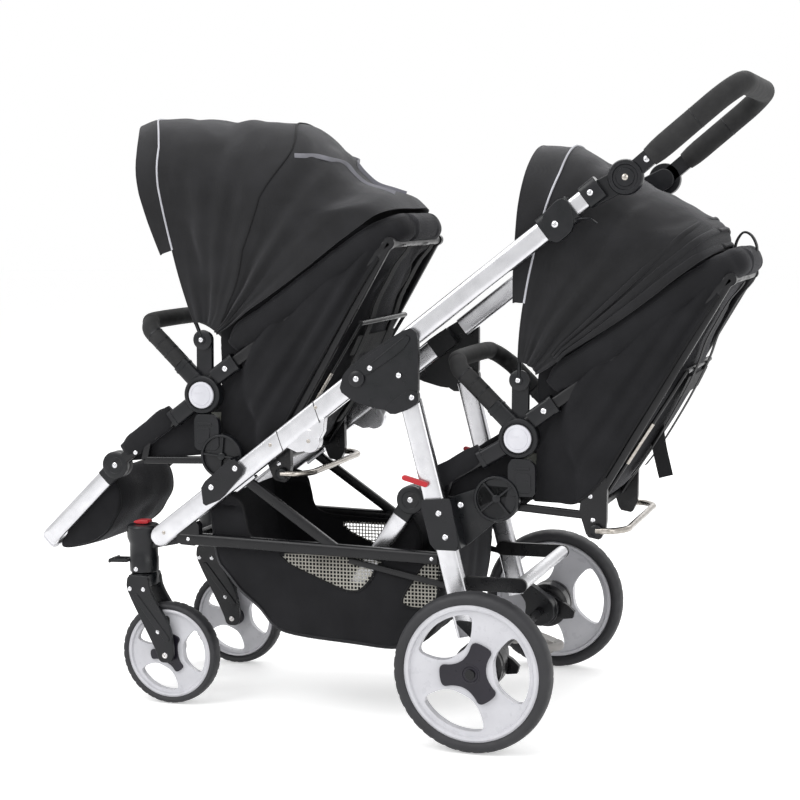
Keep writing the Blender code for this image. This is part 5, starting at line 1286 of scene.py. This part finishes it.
CANOPIES = {
    "front": {
        "crest": [(33.0, 0.404), (37.7, 0.400), (43.3, 0.376), (46.5, 0.368), (52.1, 0.372), (56.2, 0.383),
                  (60.3, 0.383), (63.0, 0.389), (66.8, 0.397), (69.9, 0.395), (75.0, 0.385), (80.0, 0.379),
                  (87.8, 0.375), (95.0, 0.381), (102.0, 0.393), (108.3, 0.404)],
        "bows": [(33.0, [(0.03, 18.0), (0.09, 30.0), (0.30, 33.3), (0.40, 33.5)]),
                 (69.9, [(0.03, 33.0), (0.08, 50.0), (0.17, 62.3), (0.267, 64.9), (0.357, 62.3)]),
                 (108.3, [(0.03, 112.0), (0.128, 108.9), (0.163, 107.8), (0.273, 105.6), (0.337, 102.9)])],
        "valance": [(0.12, 8.0), (0.224, 8.1), (0.336, 7.4), (0.37, 6.0), (0.41, 4.6)],
        "valance_low": 0.162, "lift": 0.002},
    "rear": {
        "crest": [(33.5, 0.372), (36.0, 0.386), (39.6, 0.391), (46.0, 0.380), (57.9, 0.366), (66.0, 0.366),
                  (71.7, 0.369), (76.0, 0.378), (80.0, 0.386)],
        "bows": [(33.5, [(0.03, 18.0), (0.09, 30.0), (0.30, 33.3), (0.40, 33.5)]),
                 (80.0, [(0.03, 90.0), (0.128, 85.4), (0.202, 82.7), (0.290, 80.3), (0.34, 79.2)])],
        "valance": [(0.10, 7.5), (0.179, 8.5), (0.34, 9.4), (0.39, 8.2)],
        "valance_low": 0.126, "lift": -0.004},
}


def from_pivot(seat, radius, degrees, y=0.0):
    """The place at a radius and an angle round a canopy's pivot."""
    pivot = seat_place(seat, CANOPY_PIVOT)
    a = math.radians(degrees)
    return at(pivot[0] + radius * math.cos(a), pivot[1] + radius * math.sin(a), y)


def canopy_section(top, low, corner, side_y):
    """Half a canopy section as (radius, y), from the low edge on one side to the crest."""
    steps = 15
    straight = top - corner
    points = [(low + (straight - low) * k / steps, side_y) for k in range(steps)]
    for k in range(steps + 1):
        a = math.pi / 2 * k / steps
        bulge = 0.003 * math.sin(2 * a)
        points.append((straight + corner * math.sin(a) + bulge, side_y - side_y * (1 - math.cos(a)) ** 0.95))
    return points


def canopy_point(seat, crest, radius, y, side_y):
    """The place on a canopy with a given crest angle, at a radius and a Y."""
    data = CANOPIES[seat]
    bows = data["bows"]
    crest_now = min(crest, bows[-1][0])
    for (c0, t0), (c1, t1) in zip(bows, bows[1:]):
        if crest_now <= c1:
            share = (crest_now - c0) / (c1 - c0)
            low = between(t0, radius) * (1 - share) + between(t1, radius) * share
            break
    rise = ease((side_y - abs(y)) / (0.95 * side_y))
    angle = low + (crest_now - low) * rise
    if crest > crest_now:
        angle += (crest - crest_now) * between(data["valance"], radius) / 10.0
    return from_pivot(seat, radius, angle, y)


def canopy_line(seat, crest, out=0.0, low=0.03, proud=0.0):
    """One whole line over the canopy at a crest angle."""
    data = CANOPIES[seat]
    top = between(data["crest"], min(crest, data["bows"][-1][0])) + out - 0.002
    if crest > data["bows"][-1][0]:
        top += data["lift"]
    side_y = CANOPY_Y + proud
    corner = 0.030 + 0.082 * ease((crest - 33) / 30)
    half = canopy_section(top, low, corner, side_y)
    line = [canopy_point(seat, crest, r, -y, side_y) for r, y in half]
    return line + [Vector((p.x, -p.y, p.z)) for p in reversed(line[:-1])]


def canopy(seat):
    data = CANOPIES[seat]
    first, last = data["crest"][0][0], data["bows"][-1][0]
    marks = [bow[0] for bow in data["bows"]]
    rows = []
    steps = 44
    for k in range(steps + 1):
        crest = first + (last - first) * k / steps
        line = canopy_line(seat, crest)
        slack = ease(min(abs(crest - mark) for mark in marks) / 9.0)
        count = len(line)
        row = []
        for index, p in enumerate(line):
            share = abs(2 * index / (count - 1) - 1)
            side = 1 if p.y > 0 else -1
            pull = -0.0035 * slack * ease(share * 1.6 - 0.5)
            wave = ripple(crest * 0.17 + index * 0.02, share * 2.4, side * 3.1, 0.0075) * slack
            wave += ripple(crest * 0.06, share * 5.0 + crest * 0.05, side * 7.7, 0.0055) * slack
            wave += ripple(crest * 0.30, share * 11.0 - crest * 0.09, side * 5.1, 0.0026) * slack
            if share > 0.45:
                p = p + Vector((0, side * (pull + wave), 0))
            else:
                p = p + Vector((0, 0, wave * 0.8))
            row.append(p)
        rows.append(row)
    sheet = cloth(f"{seat}_canopy_cloth", [net_of(rows)], TOP_CLOTH, replaces=[f"{seat}_canopy"],
                  slot="black_fabric")
    pivot = seat_place(seat, CANOPY_PIVOT)
    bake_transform(sheet)

    rows = []
    for k in range(7):
        share = k / 6
        line = canopy_line(seat, last + 10.0 * share, low=data["valance_low"], proud=0.0012 * share)
        rows.append([p + Vector((0, 0, ripple(i * 0.10, share * 1.5, 5.5, 0.0020) * share))
                     for i, p in enumerate(line)])
    valance = cloth(f"{seat}_valance", [net_of(rows)], TOP_CLOTH, f"{seat}_canopy_set", wall=0.0024,
                    slot="black_fabric")
    edge = canopy_line(seat, last + 10.0, low=data["valance_low"], proud=0.0012)
    make(f"{seat}_valance_hem", [round_pipe(edge, 0.0017, 8)], TOP_CLOTH, f"{seat}_canopy_set",
         slot="black_fabric")
    piping = canopy_line(seat, last, out=0.0012, low=data["valance_low"], proud=0.0012)
    make(f"{seat}_piping", [round_pipe(piping, 0.0017, 10)], PIPING, f"{seat}_canopy_set",
         slot="black_fabric")
    hem = canopy_line(seat, last, low=0.03)
    for number, piece in enumerate((hem[:12], hem[-12:])):
        make(f"{seat}_front_hem_{number}", [round_pipe(piece, 0.0016, 8)], TOP_CLOTH, f"{seat}_canopy_set",
             slot="black_fabric")
    bow = canopy_line(seat, last, out=-0.0065, low=0.006, proud=-0.0055)
    rod = sweep(bow, oval(0.0050, 0.0030, 14), side=(0, 1, 0))
    discs = [turning([(0.0160, -0.0034), (0.0170, -0.0022), (0.0170, 0.0026), (0.0150, 0.0036),
                      (0.0065, 0.0036), (0.0058, 0.0050),
                      (0.0005, 0.0052)], at(*pivot, side * 0.143), sign=side)
             for side in (-1, 1)]
    make(f"{seat}_bow_look", [rod] + discs, BLACK_PLASTIC, f"{seat}_canopy_set", sharp=45,
         replaces=[f"{seat}_canopy_bow"], slot="black_plastic")
    for side, word in SIDES:
        rivets(f"{seat}_canopy_bolt_{word}", [(pivot[0] - 0.002, pivot[1])], 0.0042, side, 0.1475,
               f"{seat}_canopy_set")


CREASE = [(34.0, 0.418), (38.5, 0.412), (43.8, 0.399), (49.3, 0.377), (55.9, 0.370), (63.6, 0.354),
          (68.0, 0.350)]


def off_crease(point, centre):
    """How far a point lies out of the side crease of the front canopy, measured from its pivot."""
    x, z = point.x - centre.x, point.z - centre.z
    return math.hypot(x, z) - between(CREASE, math.degrees(math.atan2(z, x)))


def canopy_trim():
    """Seams, grey piping and the gathered folds that differ between the two canopies."""
    seam = canopy_line("front", 69.9, out=0.0008, low=0.05, proud=0.0008)
    middle = round_pipe(seam, 0.0017, 8)
    grey = []
    centre = at(*seat_place("front", CANOPY_PIVOT))
    for side in (-1, 1):
        keys = []
        for crest in (68.0, 65.0, 61.0, 57.0, 53.0, 49.0, 45.0, 41.0, 38.0):
            line = [p for p in canopy_line("front", crest, out=0.0018, proud=0.0010) if p.y * side > 0.02]
            keys.append(min(line, key=lambda p: abs(off_crease(p, centre))))
        grey.append(tape(smooth(keys, 5), 0.0082, 0.0026, (0, 0.35, 0.94)))
    for name, shapes, material in (("front_middle_seam", [middle], WEBBING),
                                   ("front_grey_piping", grey, DULL_PIPING)):
        piece = make(name, shapes, material, slot="black_fabric")
        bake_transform(piece)
    folds = []
    for crest, size in ((34.5, 0.0075), (38.0, 0.0060), (41.5, 0.0045)):
        line = canopy_line("rear", crest, out=0.001, low=0.07, proud=0.0)
        scales = [0.35 + 0.65 * ease(min(k, len(line) - 1 - k) / 9) + 0.12 * noise.noise(p * 22)
                  for k, p in enumerate(line)]
        folds.append(sweep(line, oval(size * 0.55, size, 16), side=(0, 1, 0), scales=scales))
    make("rear_canopy_folds", folds, TOP_CLOTH, "rear_seat", sharp=180, slot="black_fabric")


# Soft seats

BOLSTER = [(0.054, 0.084), (0.074, 0.104), (0.120, 0.133), (0.200, 0.190), (0.270, 0.240), (0.306, 0.262)]


def bolster(seat):
    """The padded roll round the seat's back, with its piping."""
    y = 0.1250
    keys = [(x, z, y) for x, z in BOLSTER] + [(0.327, 0.275, y - 0.020), (0.341, 0.282, y - 0.058)]
    path = smooth(mirrored([on_seat(seat, (x, z), -out) for x, z, out in keys]), 6)
    scales = []
    for k, p in enumerate(path):
        ends = min(k, len(path) - 1 - k)
        scales.append((0.62 + 0.38 * ease(ends / 7)) * (1 + 0.06 * noise.noise(p * 34 + Vector((0, 0, 9)))))
    roll = sweep(path, oval(0.0235, 0.0240, 28, 0.85), scales=scales)
    piece = make(f"{seat}_bolster", [roll], CLOTH, f"{seat}_seat", sharp=180, slot="black_fabric")
    seams = []
    for turn in (0.55, -0.75):
        line = []
        for k, p in enumerate(path):
            tangent = heading_at(path, k)
            u = Vector((0, 1, 0)) - tangent * tangent.y
            if u.length < 0.05:
                u = Vector((0, 0, 1)) - tangent * tangent.z
            u.normalize()
            v = tangent.cross(u)
            outward = -u if p.y < 0 else u
            v = v if v.z > 0 else -v
            way = (outward * math.cos(turn) + v * math.sin(turn)).normalized()
            line.append(p + way * 0.0236 * scales[k])
        seams.append(round_pipe(line[3:-3], 0.0012, 6))
    make(f"{seat}_bolster_seams", seams, WEBBING, f"{seat}_seat", slot="black_fabric")


SLING = [(-0.150, -0.074), (-0.152, -0.092), (-0.128, -0.1005), (-0.060, -0.103), (0.040, -0.103),
         (0.100, -0.106), (0.134, -0.098), (0.160, -0.062), (0.192, -0.012), (0.226, 0.046), (0.252, 0.096),
         (0.266, 0.128), (0.277, 0.160), (0.294, 0.192), (0.314, 0.226), (0.334, 0.250), (0.344, 0.272)]
SLING_HALF = 0.1215


def sling_place(path, k, share):
    """A point of the sling in the seats' side view, at a share of its half width."""
    p = path[k]
    tangent = heading_at(path, k)
    back = ease((p.x - 0.11) / 0.08) * ease((0.34 - p.x) / 0.05)
    bulge = 0.010 * back * (1 - share * share) - 0.016 * back * abs(share) ** 3
    wave = ripple(p.x * 14, share * 3.0, 1.3, 0.0050) * back
    q = p + Vector((tangent.y, -tangent.x)) * (bulge + wave)
    return (q.x, q.y)


def side_cloth(seat):
    """The cloth that hangs in long folds from the roll to the lower bars, on both sides."""
    upper = smooth([(0.030, 0.064), (0.031, 0.108), (0.061, 0.153), (0.113, 0.188), (0.167, 0.224),
                    (0.221, 0.260), (0.265, 0.282), (0.304, 0.289)], 6)
    lower = smooth([(0.022, -0.104), (0.060, -0.105), (0.094, -0.104), (0.136, -0.066), (0.184, 0.012),
                    (0.232, 0.090), (0.276, 0.162), (0.322, 0.232)], 6)
    path = smooth(SLING, 4)
    for side, word in SIDES:
        sewn = [Vector(sling_place(path, k, side)) for k in range(len(path))]
        rows = []
        for top, low in zip(upper, lower):
            row = []
            for k in range(25):
                share = k / 24
                p = top.lerp(low, share)
                outside = ease((p.x - 0.062 - 0.022 * ease(-p.y / 0.05)) / 0.026)
                y = CLOTH_Y + 0.0150 * outside * ease((share - 0.12) / 0.24)
                distance = (p.x - 0.118) * 0.843 - (p.y + 0.118) * 0.538
                body_share = ease(share / 0.25) * ease((1 - share) / 0.15)
                fold = math.sin(distance * 150 + 6 * p.x) + 0.7 * math.sin(distance * 236 - 9 * p.y)
                fold = fold * 0.0030 + ripple(p.x * 20, p.y * 12, side * 2.0, 0.0050)
                out = max(-0.0050, fold) * body_share * outside - abs(fold) * 0.6 * (1 - outside) * body_share
                row.append(on_seat(seat, (p.x, p.y), side * (y + out)))
            meet = min(sewn, key=lambda q: (q - low).length)
            for k in range(1, 6):
                p = low.lerp(meet, ease(k / 5))
                row.append(on_seat(seat, (p.x, p.y), side * (y + (SLING_HALF - y) * k / 5)))
            rows.append(row)
        piece = cloth(f"{seat}_side_cloth_{word}", [net_of(rows)], CLOTH, f"{seat}_seat", wall=0.0018,
                      slot="black_fabric")
        edge = [row[24] for row in rows]
        make(f"{seat}_side_binding_{word}", [round_pipe(edge, 0.0020, 8)], WEBBING, f"{seat}_seat",
             slot="black_fabric")
        rows = []
        for k in range(17):
            share = k / 16
            top = Vector((-0.166, -0.096)).lerp(Vector((-0.010, 0.012)), share)
            low = Vector((-0.160, -0.114)).lerp(Vector((0.026, -0.104)), share)
            row = []
            for step in range(13):
                p = top.lerp(low, step / 12)
                fold = abs(math.sin(p.x * 95 + p.y * 40)) * 0.0022 * ease(step / 4) * ease((12 - step) / 3)
                row.append(on_seat(seat, (p.x, p.y), side * (CLOTH_Y - fold), True))
            rows.append(row)
        roll = []
        for k in range(15):
            spot = Vector((-0.062, -0.034)).lerp(Vector((-0.160, -0.100)), k / 14)
            roll.append(on_seat(seat, (spot.x - 0.002, spot.y + 0.003), side * 0.1335, True))
        scales = [0.80 + 0.20 * ease(min(k, 14 - k) / 3) + 0.10 * noise.noise(p * 45)
                  for k, p in enumerate(roll)]
        wrap = make(f"{seat}_rail_wrap_{word}", [sweep(roll, oval(0.0088, 0.0195, 28, 0.75), scales=scales)],
                    CLOTH, f"{seat}_seat", sharp=180, slot="black_fabric")
        piece = cloth(f"{seat}_lap_cloth_{word}", [net_of(rows)], CLOTH, f"{seat}_seat", wall=0.0018,
                      slot="black_fabric")


def sling(seat):
    """One panel under the seat and up behind its back."""
    path = smooth(SLING, 4)
    rows = []
    for k in range(len(path)):
        row = []
        for step in range(29):
            share = -1 + 2 * step / 28
            row.append(on_seat(seat, sling_place(path, k, share), share * SLING_HALF))
        rows.append(row)
    piece = cloth(f"{seat}_sling", [net_of(rows)], CLOTH, f"{seat}_seat", wall=0.0022, slot="black_fabric")
    straps = []
    for y in (-0.062, 0.062):
        line = [on_seat(seat, (p.x + 0.0050 + 0.010 * ease((p.x - 0.11) / 0.08), p.y - 0.004), y)
                for p in path[28:62]]
        straps.append(tape(line, 0.025, 0.0018, (0, 1, 0)))
    pocket = [on_seat(seat, (p.x + 0.013, p.y - 0.005), 0.0) for p in path[38:42]]
    straps.append(tape(pocket, 0.200, 0.0022, (0, 1, 0)))
    make(f"{seat}_back_straps", straps, WEBBING, f"{seat}_seat", slot="black_fabric")


def pads():
    """Seat and back pads, swelled once and shared by both seats."""
    def slab(start, end, half, thick, crown):
        start, end = Vector(start), Vector(end)
        along = (end - start).normalized()
        up = Vector((-along.y, along.x))
        length = (end - start).length
        rows = []
        for k in range(15):
            a = length * k / 14
            taper = 0.55 + 0.45 * math.sin(math.pi * min(a, length - a, 0.03) / 0.06)
            row = []
            for u, w in oval(half, thick / 2, 40, 0.5):
                q = start + along * a + up * (thick / 2 + w * taper + crown * math.sin(math.pi * k / 14))
                row.append(at(q.x, q.y, u))
            rows.append(row)
        return [skin_of(rows)]

    shapes = {"seat_pad": slab((-0.142, -0.091), (0.100, -0.091), 0.108, 0.030, 0.0),
              "back_pad": slab((0.128, -0.078), (0.318, 0.230), 0.108, 0.026, 0.004)}
    for word, shape in shapes.items():
        piece = swelled(word, shape, 0.0055, 0.009)
        mesh = piece.data
        centre_x = sum(v.co.x for v in mesh.vertices) / len(mesh.vertices)
        direction = Vector((0.525, 0, 0.851)) if word == "back_pad" else Vector((1, 0, 0))
        middle = Vector((centre_x, 0, sum(v.co.z for v in mesh.vertices) / len(mesh.vertices)))
        for vertex in mesh.vertices:
            along = (vertex.co - middle).dot(direction)
            for line in (-0.085, 0.0, 0.085):
                near = math.exp(-((along - line) / 0.0045) ** 2)
                pull = 0.0045 * near * ease((0.100 - abs(vertex.co.y)) / 0.02)
                vertex.co -= vertex.normal * pull
        for seat, data in SEATS.items():
            copy = bpy.data.objects.new(f"{seat}_{word}", mesh.copy())
            bpy.context.scene.collection.objects.link(copy)
            hub = data["hub"]
            for vertex in copy.data.vertices:
                x, z = vertex.co.x - AXLE_X, vertex.co.z
                if word == "seat_pad":
                    x, z = turned((x, z), data["lean"])
                vertex.co = at(hub[0] + x, hub[1] + z, vertex.co.y)
            copy.data.materials.clear()
            copy.data.materials.append(LINING if word == "seat_pad" else CLOTH)
            smoother = copy.modifiers.new("smooth", "SUBSURF")
            smoother.levels = 1
            smoother.render_levels = 1
            copy.data.shade_smooth()
            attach(copy, f"{seat}_seat")
            if word == "seat_pad":
                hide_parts(f"{seat}_seat_cushion")
        bpy.data.objects.remove(piece)


def hanging_strap():
    """Loose webbing behind the rear seat, with its buckle, and the loop on top of the back."""
    keys = [at(0.246, 0.556, -0.050), at(0.251, 0.530, -0.052), at(0.252, 0.500, -0.053),
            at(0.256, 0.470, -0.053), at(0.262, 0.442, -0.052), at(0.267, 0.419, -0.050)]
    strap = tape(smooth(keys, 6), 0.024, 0.0020, (0.96, 0.28, 0))
    upper = tape(smooth([at(0.262, 0.600, -0.056), at(0.254, 0.575, -0.055), at(0.247, 0.552, -0.052)], 5),
                 0.022, 0.0020, (0.96, 0.28, 0))
    make("rear_hanging_strap", [strap, upper], WEBBING, "rear_seat", slot="black_fabric")
    buckle = [plate(softened([(0.232, 0.566), (0.262, 0.562), (0.266, 0.540), (0.236, 0.536)], 2, 0.2),
                    -0.0565, -0.0495),
              plate(softened([(0.237, 0.558), (0.256, 0.556), (0.259, 0.546), (0.240, 0.543)], 1, 0.2),
                    -0.0585, -0.0475)]
    make("rear_strap_buckle", buckle, BLACK_PLASTIC, "rear_seat", bevel=0.001, slot="black_plastic")
    loop = smooth([at(0.372, 0.776, -0.016), at(0.374, 0.800, -0.014), at(0.384, 0.816, -0.008),
                   at(0.396, 0.812, 0.0), at(0.404, 0.795, 0.008), at(0.404, 0.772, 0.012)], 6)
    make("rear_back_loop", [tape(loop, 0.020, 0.0030, (0, 1, 0))], WEBBING, "rear_seat", slot="black_fabric")


# Basket

BELLY = [(-0.512, 0.362), (-0.507, 0.320), (-0.500, 0.262), (-0.478, 0.232), (-0.456, 0.206), (-0.422, 0.178),
         (-0.392, 0.146), (-0.346, 0.134), (-0.250, 0.127), (-0.168, 0.124), (-0.112, 0.150), (-0.091, 0.212),
         (-0.084, 0.284), (-0.083, 0.306)]
TOP_LINE = [(-0.512, 0.362), (-0.486, 0.372), (-0.462, 0.374), (-0.447, 0.362), (-0.440, 0.336),
            (-0.432, 0.308), (-0.405, 0.2935), (-0.340, 0.2895), (-0.230, 0.2865), (-0.120, 0.284),
            (-0.083, 0.306)]
WINDOWS = [[(-0.366, 0.281), (-0.366, 0.266), (-0.352, 0.257), (-0.300, 0.236), (-0.262, 0.222),
            (-0.236, 0.222), (-0.216, 0.240), (-0.205, 0.262), (-0.204, 0.277)],
           [(-0.118, 0.274), (-0.138, 0.246), (-0.158, 0.212), (-0.150, 0.200), (-0.116, 0.198),
            (-0.100, 0.212), (-0.093, 0.240), (-0.090, 0.272)]]


def inside(point, outline):
    result = False
    x, z = point
    for k, (x0, z0) in enumerate(outline):
        x1, z1 = outline[k - 1]
        if (z0 > z) != (z1 > z) and x < (x1 - x0) * (z - z0) / (z1 - z0) + x0:
            result = not result
    return result


def nearest_on(point, outline):
    best, place = 1e9, point
    p = Vector(point)
    for k in range(len(outline)):
        a, b = Vector(outline[k - 1]), Vector(outline[k])
        along = b - a
        share = min(1.0, max(0.0, (p - a).dot(along) / max(along.length_squared, 1e-12)))
        q = a + along * share
        if (q - p).length < best:
            best, place = (q - p).length, (q.x, q.y)
    return place, best


def basket():
    """A sagging shell with net windows in its sides, bound along its edges."""
    belly = smooth(BELLY, 6)
    top_line = smooth(TOP_LINE, 6)
    windows = [[(p.x, p.y) for p in smooth(outline, 4, closed=True)] for outline in WINDOWS]
    outline = [(p.x, p.y) for p in belly] + [(p.x, p.y) for p in reversed(top_line[1:-1])]
    round_r = 0.014
    shapes, nets, bindings = [], [], []
    cell = 0.0045
    across, up = int(0.44 / cell), int(0.27 / cell)
    pitch, past, thread = 0.0062, 0.002, 0.0011

    def grid_place(i, k):
        return -0.516 + i * cell, 0.118 + k * cell

    for side in (-1, 1):
        index, vertices, faces = {}, [], []

        def vertex(i, k):
            if (i, k) in index:
                return index[(i, k)]
            x, z = grid_place(i, k)
            if not inside((x, z), outline):
                (x, z), _ = nearest_on((x, z), outline)
            for hole in windows:
                if inside((x, z), hole):
                    (x, z), _ = nearest_on((x, z), hole)
            height = (z - 0.12) / 0.20
            sag = 0.0022 * math.sin(math.pi * min(1.0, max(0.0, height)))
            sag += ripple(x * 16, z * 16, side * 4.0, 0.0028) * ease((0.286 - z) / 0.03)
            _, edge = nearest_on((x, z), outline[:len(belly)])
            turn_in = max(0.0, 1 - edge / round_r)
            y = BASKET_Y - max(0.0, sag) - round_r * (1 - math.sqrt(max(0.0, 1 - turn_in * turn_in))) * 0.9
            index[(i, k)] = len(vertices)
            vertices.append(at(x, z, side * y))
            return index[(i, k)]

        for i in range(across):
            for k in range(up):
                steps = [(i, k), (i + 1, k), (i + 1, k + 1), (i, k + 1)]
                corners = [grid_place(*step) for step in steps]
                if not any(inside(c, outline) for c in corners):
                    continue
                if any(all(inside(c, hole) for c in corners) for hole in windows):
                    continue
                faces.append(tuple(vertex(*step) for step in steps))
        shapes.append((vertices, faces))
        for hole in windows:
            spans = [(min(p[axis] for p in hole), max(p[axis] for p in hole)) for axis in (0, 1)]
            for (low, high), (start, end), steps, way in ((spans[0], spans[1], 60, 1),
                                                          (spans[1], spans[0], 90, -1)):
                for number in range(int((high - low) / pitch) + 1):
                    fixed = low + pitch * (number + 0.5)
                    cells = [start + (end - start) * t / steps for t in range(steps + 1)]
                    within = [c for c in cells if inside((fixed, c)[::way], hole)]
                    if len(within) > 2:
                        ends = [at(*(fixed, c)[::way], side * WINDOW_Y)
                                for c in (within[0] - past, within[-1] + past)]
                        nets.append(round_pipe(ends, thread, 5))
            ring = [at(x, z, side * BINDING_Y) for x, z in hole]
            bindings.append(round_pipe(ring + ring[:2], 0.0018, 8))
        bindings.append(round_pipe([at(p.x, p.y, side * BINDING_Y) for p in top_line], 0.0024, 8))
    rows = []
    for k, p in enumerate(belly):
        tangent = heading_at(belly, k)
        inward = Vector((-tangent.y, tangent.x))
        row = []
        for step in range(41):
            share = -1 + 2 * step / 40
            y = share * BASKET_Y
            edge = max(0.0, (abs(y) - (BASKET_Y - round_r)) / round_r)
            lift = round_r * (1 - math.sqrt(max(0.0, 1 - min(1.0, edge) ** 2))) * 0.6
            wave = ripple(p.x * 12, share * 4.0, 2.2, 0.0040) * (1 - abs(share) ** 4)
            wave *= ease((0.30 - p.y) / 0.05)
            q = p + inward * (lift + max(-0.001, wave))
            row.append(at(q.x, q.y, y * 0.996))
        rows.append(row)
    shapes.append(net_of(rows))
    shell = cloth("basket_look", shapes, CLOTH, "chassis", wall=0.0018, smoother=0, replaces=["basket"],
                  slot="black_fabric")
    make("basket_nets", nets, NET, "chassis", slot="black_fabric")
    make("basket_bindings", bindings, WEBBING, "chassis", slot="black_fabric")
    bars = [bar((-0.250, 0.274), (-0.075, 0.239), side * 0.1592, oval(0.0022, 0.0052, 16, 0.6))
            for side in (-1, 1)]
    make("basket_side_bars", bars, BLACK_METAL, "chassis", slot="black_paint")


# Setting

def seen_directly(tree, size):
    """The size for rays from the camera, mirror-like surfaces and glass, and nothing for the rest."""
    path = node_of(tree, "LightPath")
    total = path.outputs["Is Camera Ray"]
    for ray in ("Is Glossy Ray", "Is Transmission Ray"):
        total = sum_of(tree, total, path.outputs[ray], clamped=True)
    times = node_of(tree, "Math")
    times.operation = "MULTIPLY"
    times.inputs[1].default_value = size
    tree.links.new(total, times.inputs[0])
    return times.outputs["Value"]


def setting():
    """A pale floor, soft lamps and a white backdrop."""
    bpy.ops.mesh.primitive_plane_add(size=40, location=(0, 0, -0.0005))
    floor = bpy.context.object
    floor.name = "floor"
    material = material_of("floor", (0.90, 0.90, 0.90), 0.85, Specular_IOR_Level=0.1,
                           Emission_Color=(1, 1, 1, 1))
    tree = material.node_tree
    tree.links.new(seen_directly(tree, 0.42), tree.nodes["Principled BSDF"].inputs["Emission Strength"])
    floor.data.materials.append(material)
    floor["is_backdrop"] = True

    world = bpy.data.worlds.new("studio")
    bpy.context.scene.world = world
    world.use_nodes = True
    tree = world.node_tree
    tree.nodes.clear()
    mix = node_of(tree, "MixShader")
    tree.links.new(seen_directly(tree, 1.0), mix.inputs["Fac"])
    for number, strength in ((1, 0.62), (2, 1.0)):
        shade = node_of(tree, "Background", Color=(1, 1, 1, 1), Strength=strength)
        tree.links.new(shade.outputs["Background"], mix.inputs[number])
    output = node_of(tree, "OutputWorld")
    tree.links.new(mix.outputs["Shader"], output.inputs["Surface"])

    target = Vector((0.0, 0.0, 0.5))
    for name, place, size, power in (("key", (-1.6, -2.4, 2.6), 2.2, 62), ("fill", (2.4, -2.2, 1.8), 2.2, 34),
                                     ("back", (0.4, 2.6, 2.6), 2.4, 40), ("top", (0.0, -0.2, 3.2), 2.6, 38)):
        light = bpy.data.lights.new(name, "AREA")
        light.energy = power
        light.size = size
        lamp = bpy.data.objects.new(name, light)
        bpy.context.scene.collection.objects.link(lamp)
        lamp.location = place
        lamp.rotation_euler = (target - Vector(place)).to_track_quat("-Z", "Y").to_euler()

    data = bpy.data.cameras.new("camera")
    data.sensor_width = 36.0
    data.lens = 80.1
    camera = bpy.data.objects.new("camera", data)
    bpy.context.scene.collection.objects.link(camera)
    a, e, roll = math.radians(18.437), math.radians(6.223), math.radians(-0.786)
    ahead = Vector((-math.sin(a) * math.cos(e), math.cos(a) * math.cos(e), -math.sin(e)))
    level = Vector((math.cos(a), math.sin(a), 0.0))
    above = Vector((-math.sin(a) * math.sin(e), math.cos(a) * math.sin(e), math.cos(e)))
    right = level * math.cos(roll) + above * math.sin(roll)
    up = above * math.cos(roll) - level * math.sin(roll)
    turn = Matrix((right, up, -ahead)).transposed().to_4x4()
    camera.matrix_world = Matrix.Translation(at(0.76936, 0.8672, -2.9344)) @ turn
    bpy.context.scene.camera = camera
    bpy.context.scene.view_settings.view_transform = "Standard"


def both_boxes():
    """The CAD box and the box of the pieces, as plain numbers."""
    bpy.context.view_layer.update()
    look_low, look_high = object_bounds()
    return {"cad_low": list(CAD_LOW), "cad_high": list(CAD_HIGH), "look_low": list(look_low),
            "look_high": list(look_high)}


wheels()
casters()
main_tubes()
fold_brackets()
upper_tubes()
handle()
rear_legs()
rails()
rear_parts()
fold_levers()
front_adaptors()
rear_adaptors()
pads()
for seat_name in SEATS:
    seat_frame(seat_name)
    hub_buttons(seat_name)
    bumper(seat_name)
    footrest(seat_name)
    hoop(seat_name)
    canopy(seat_name)
    bolster(seat_name)
    side_cloth(seat_name)
    sling(seat_name)
canopy_trim()
hanging_strap()
basket()
setting()
both_boxes()
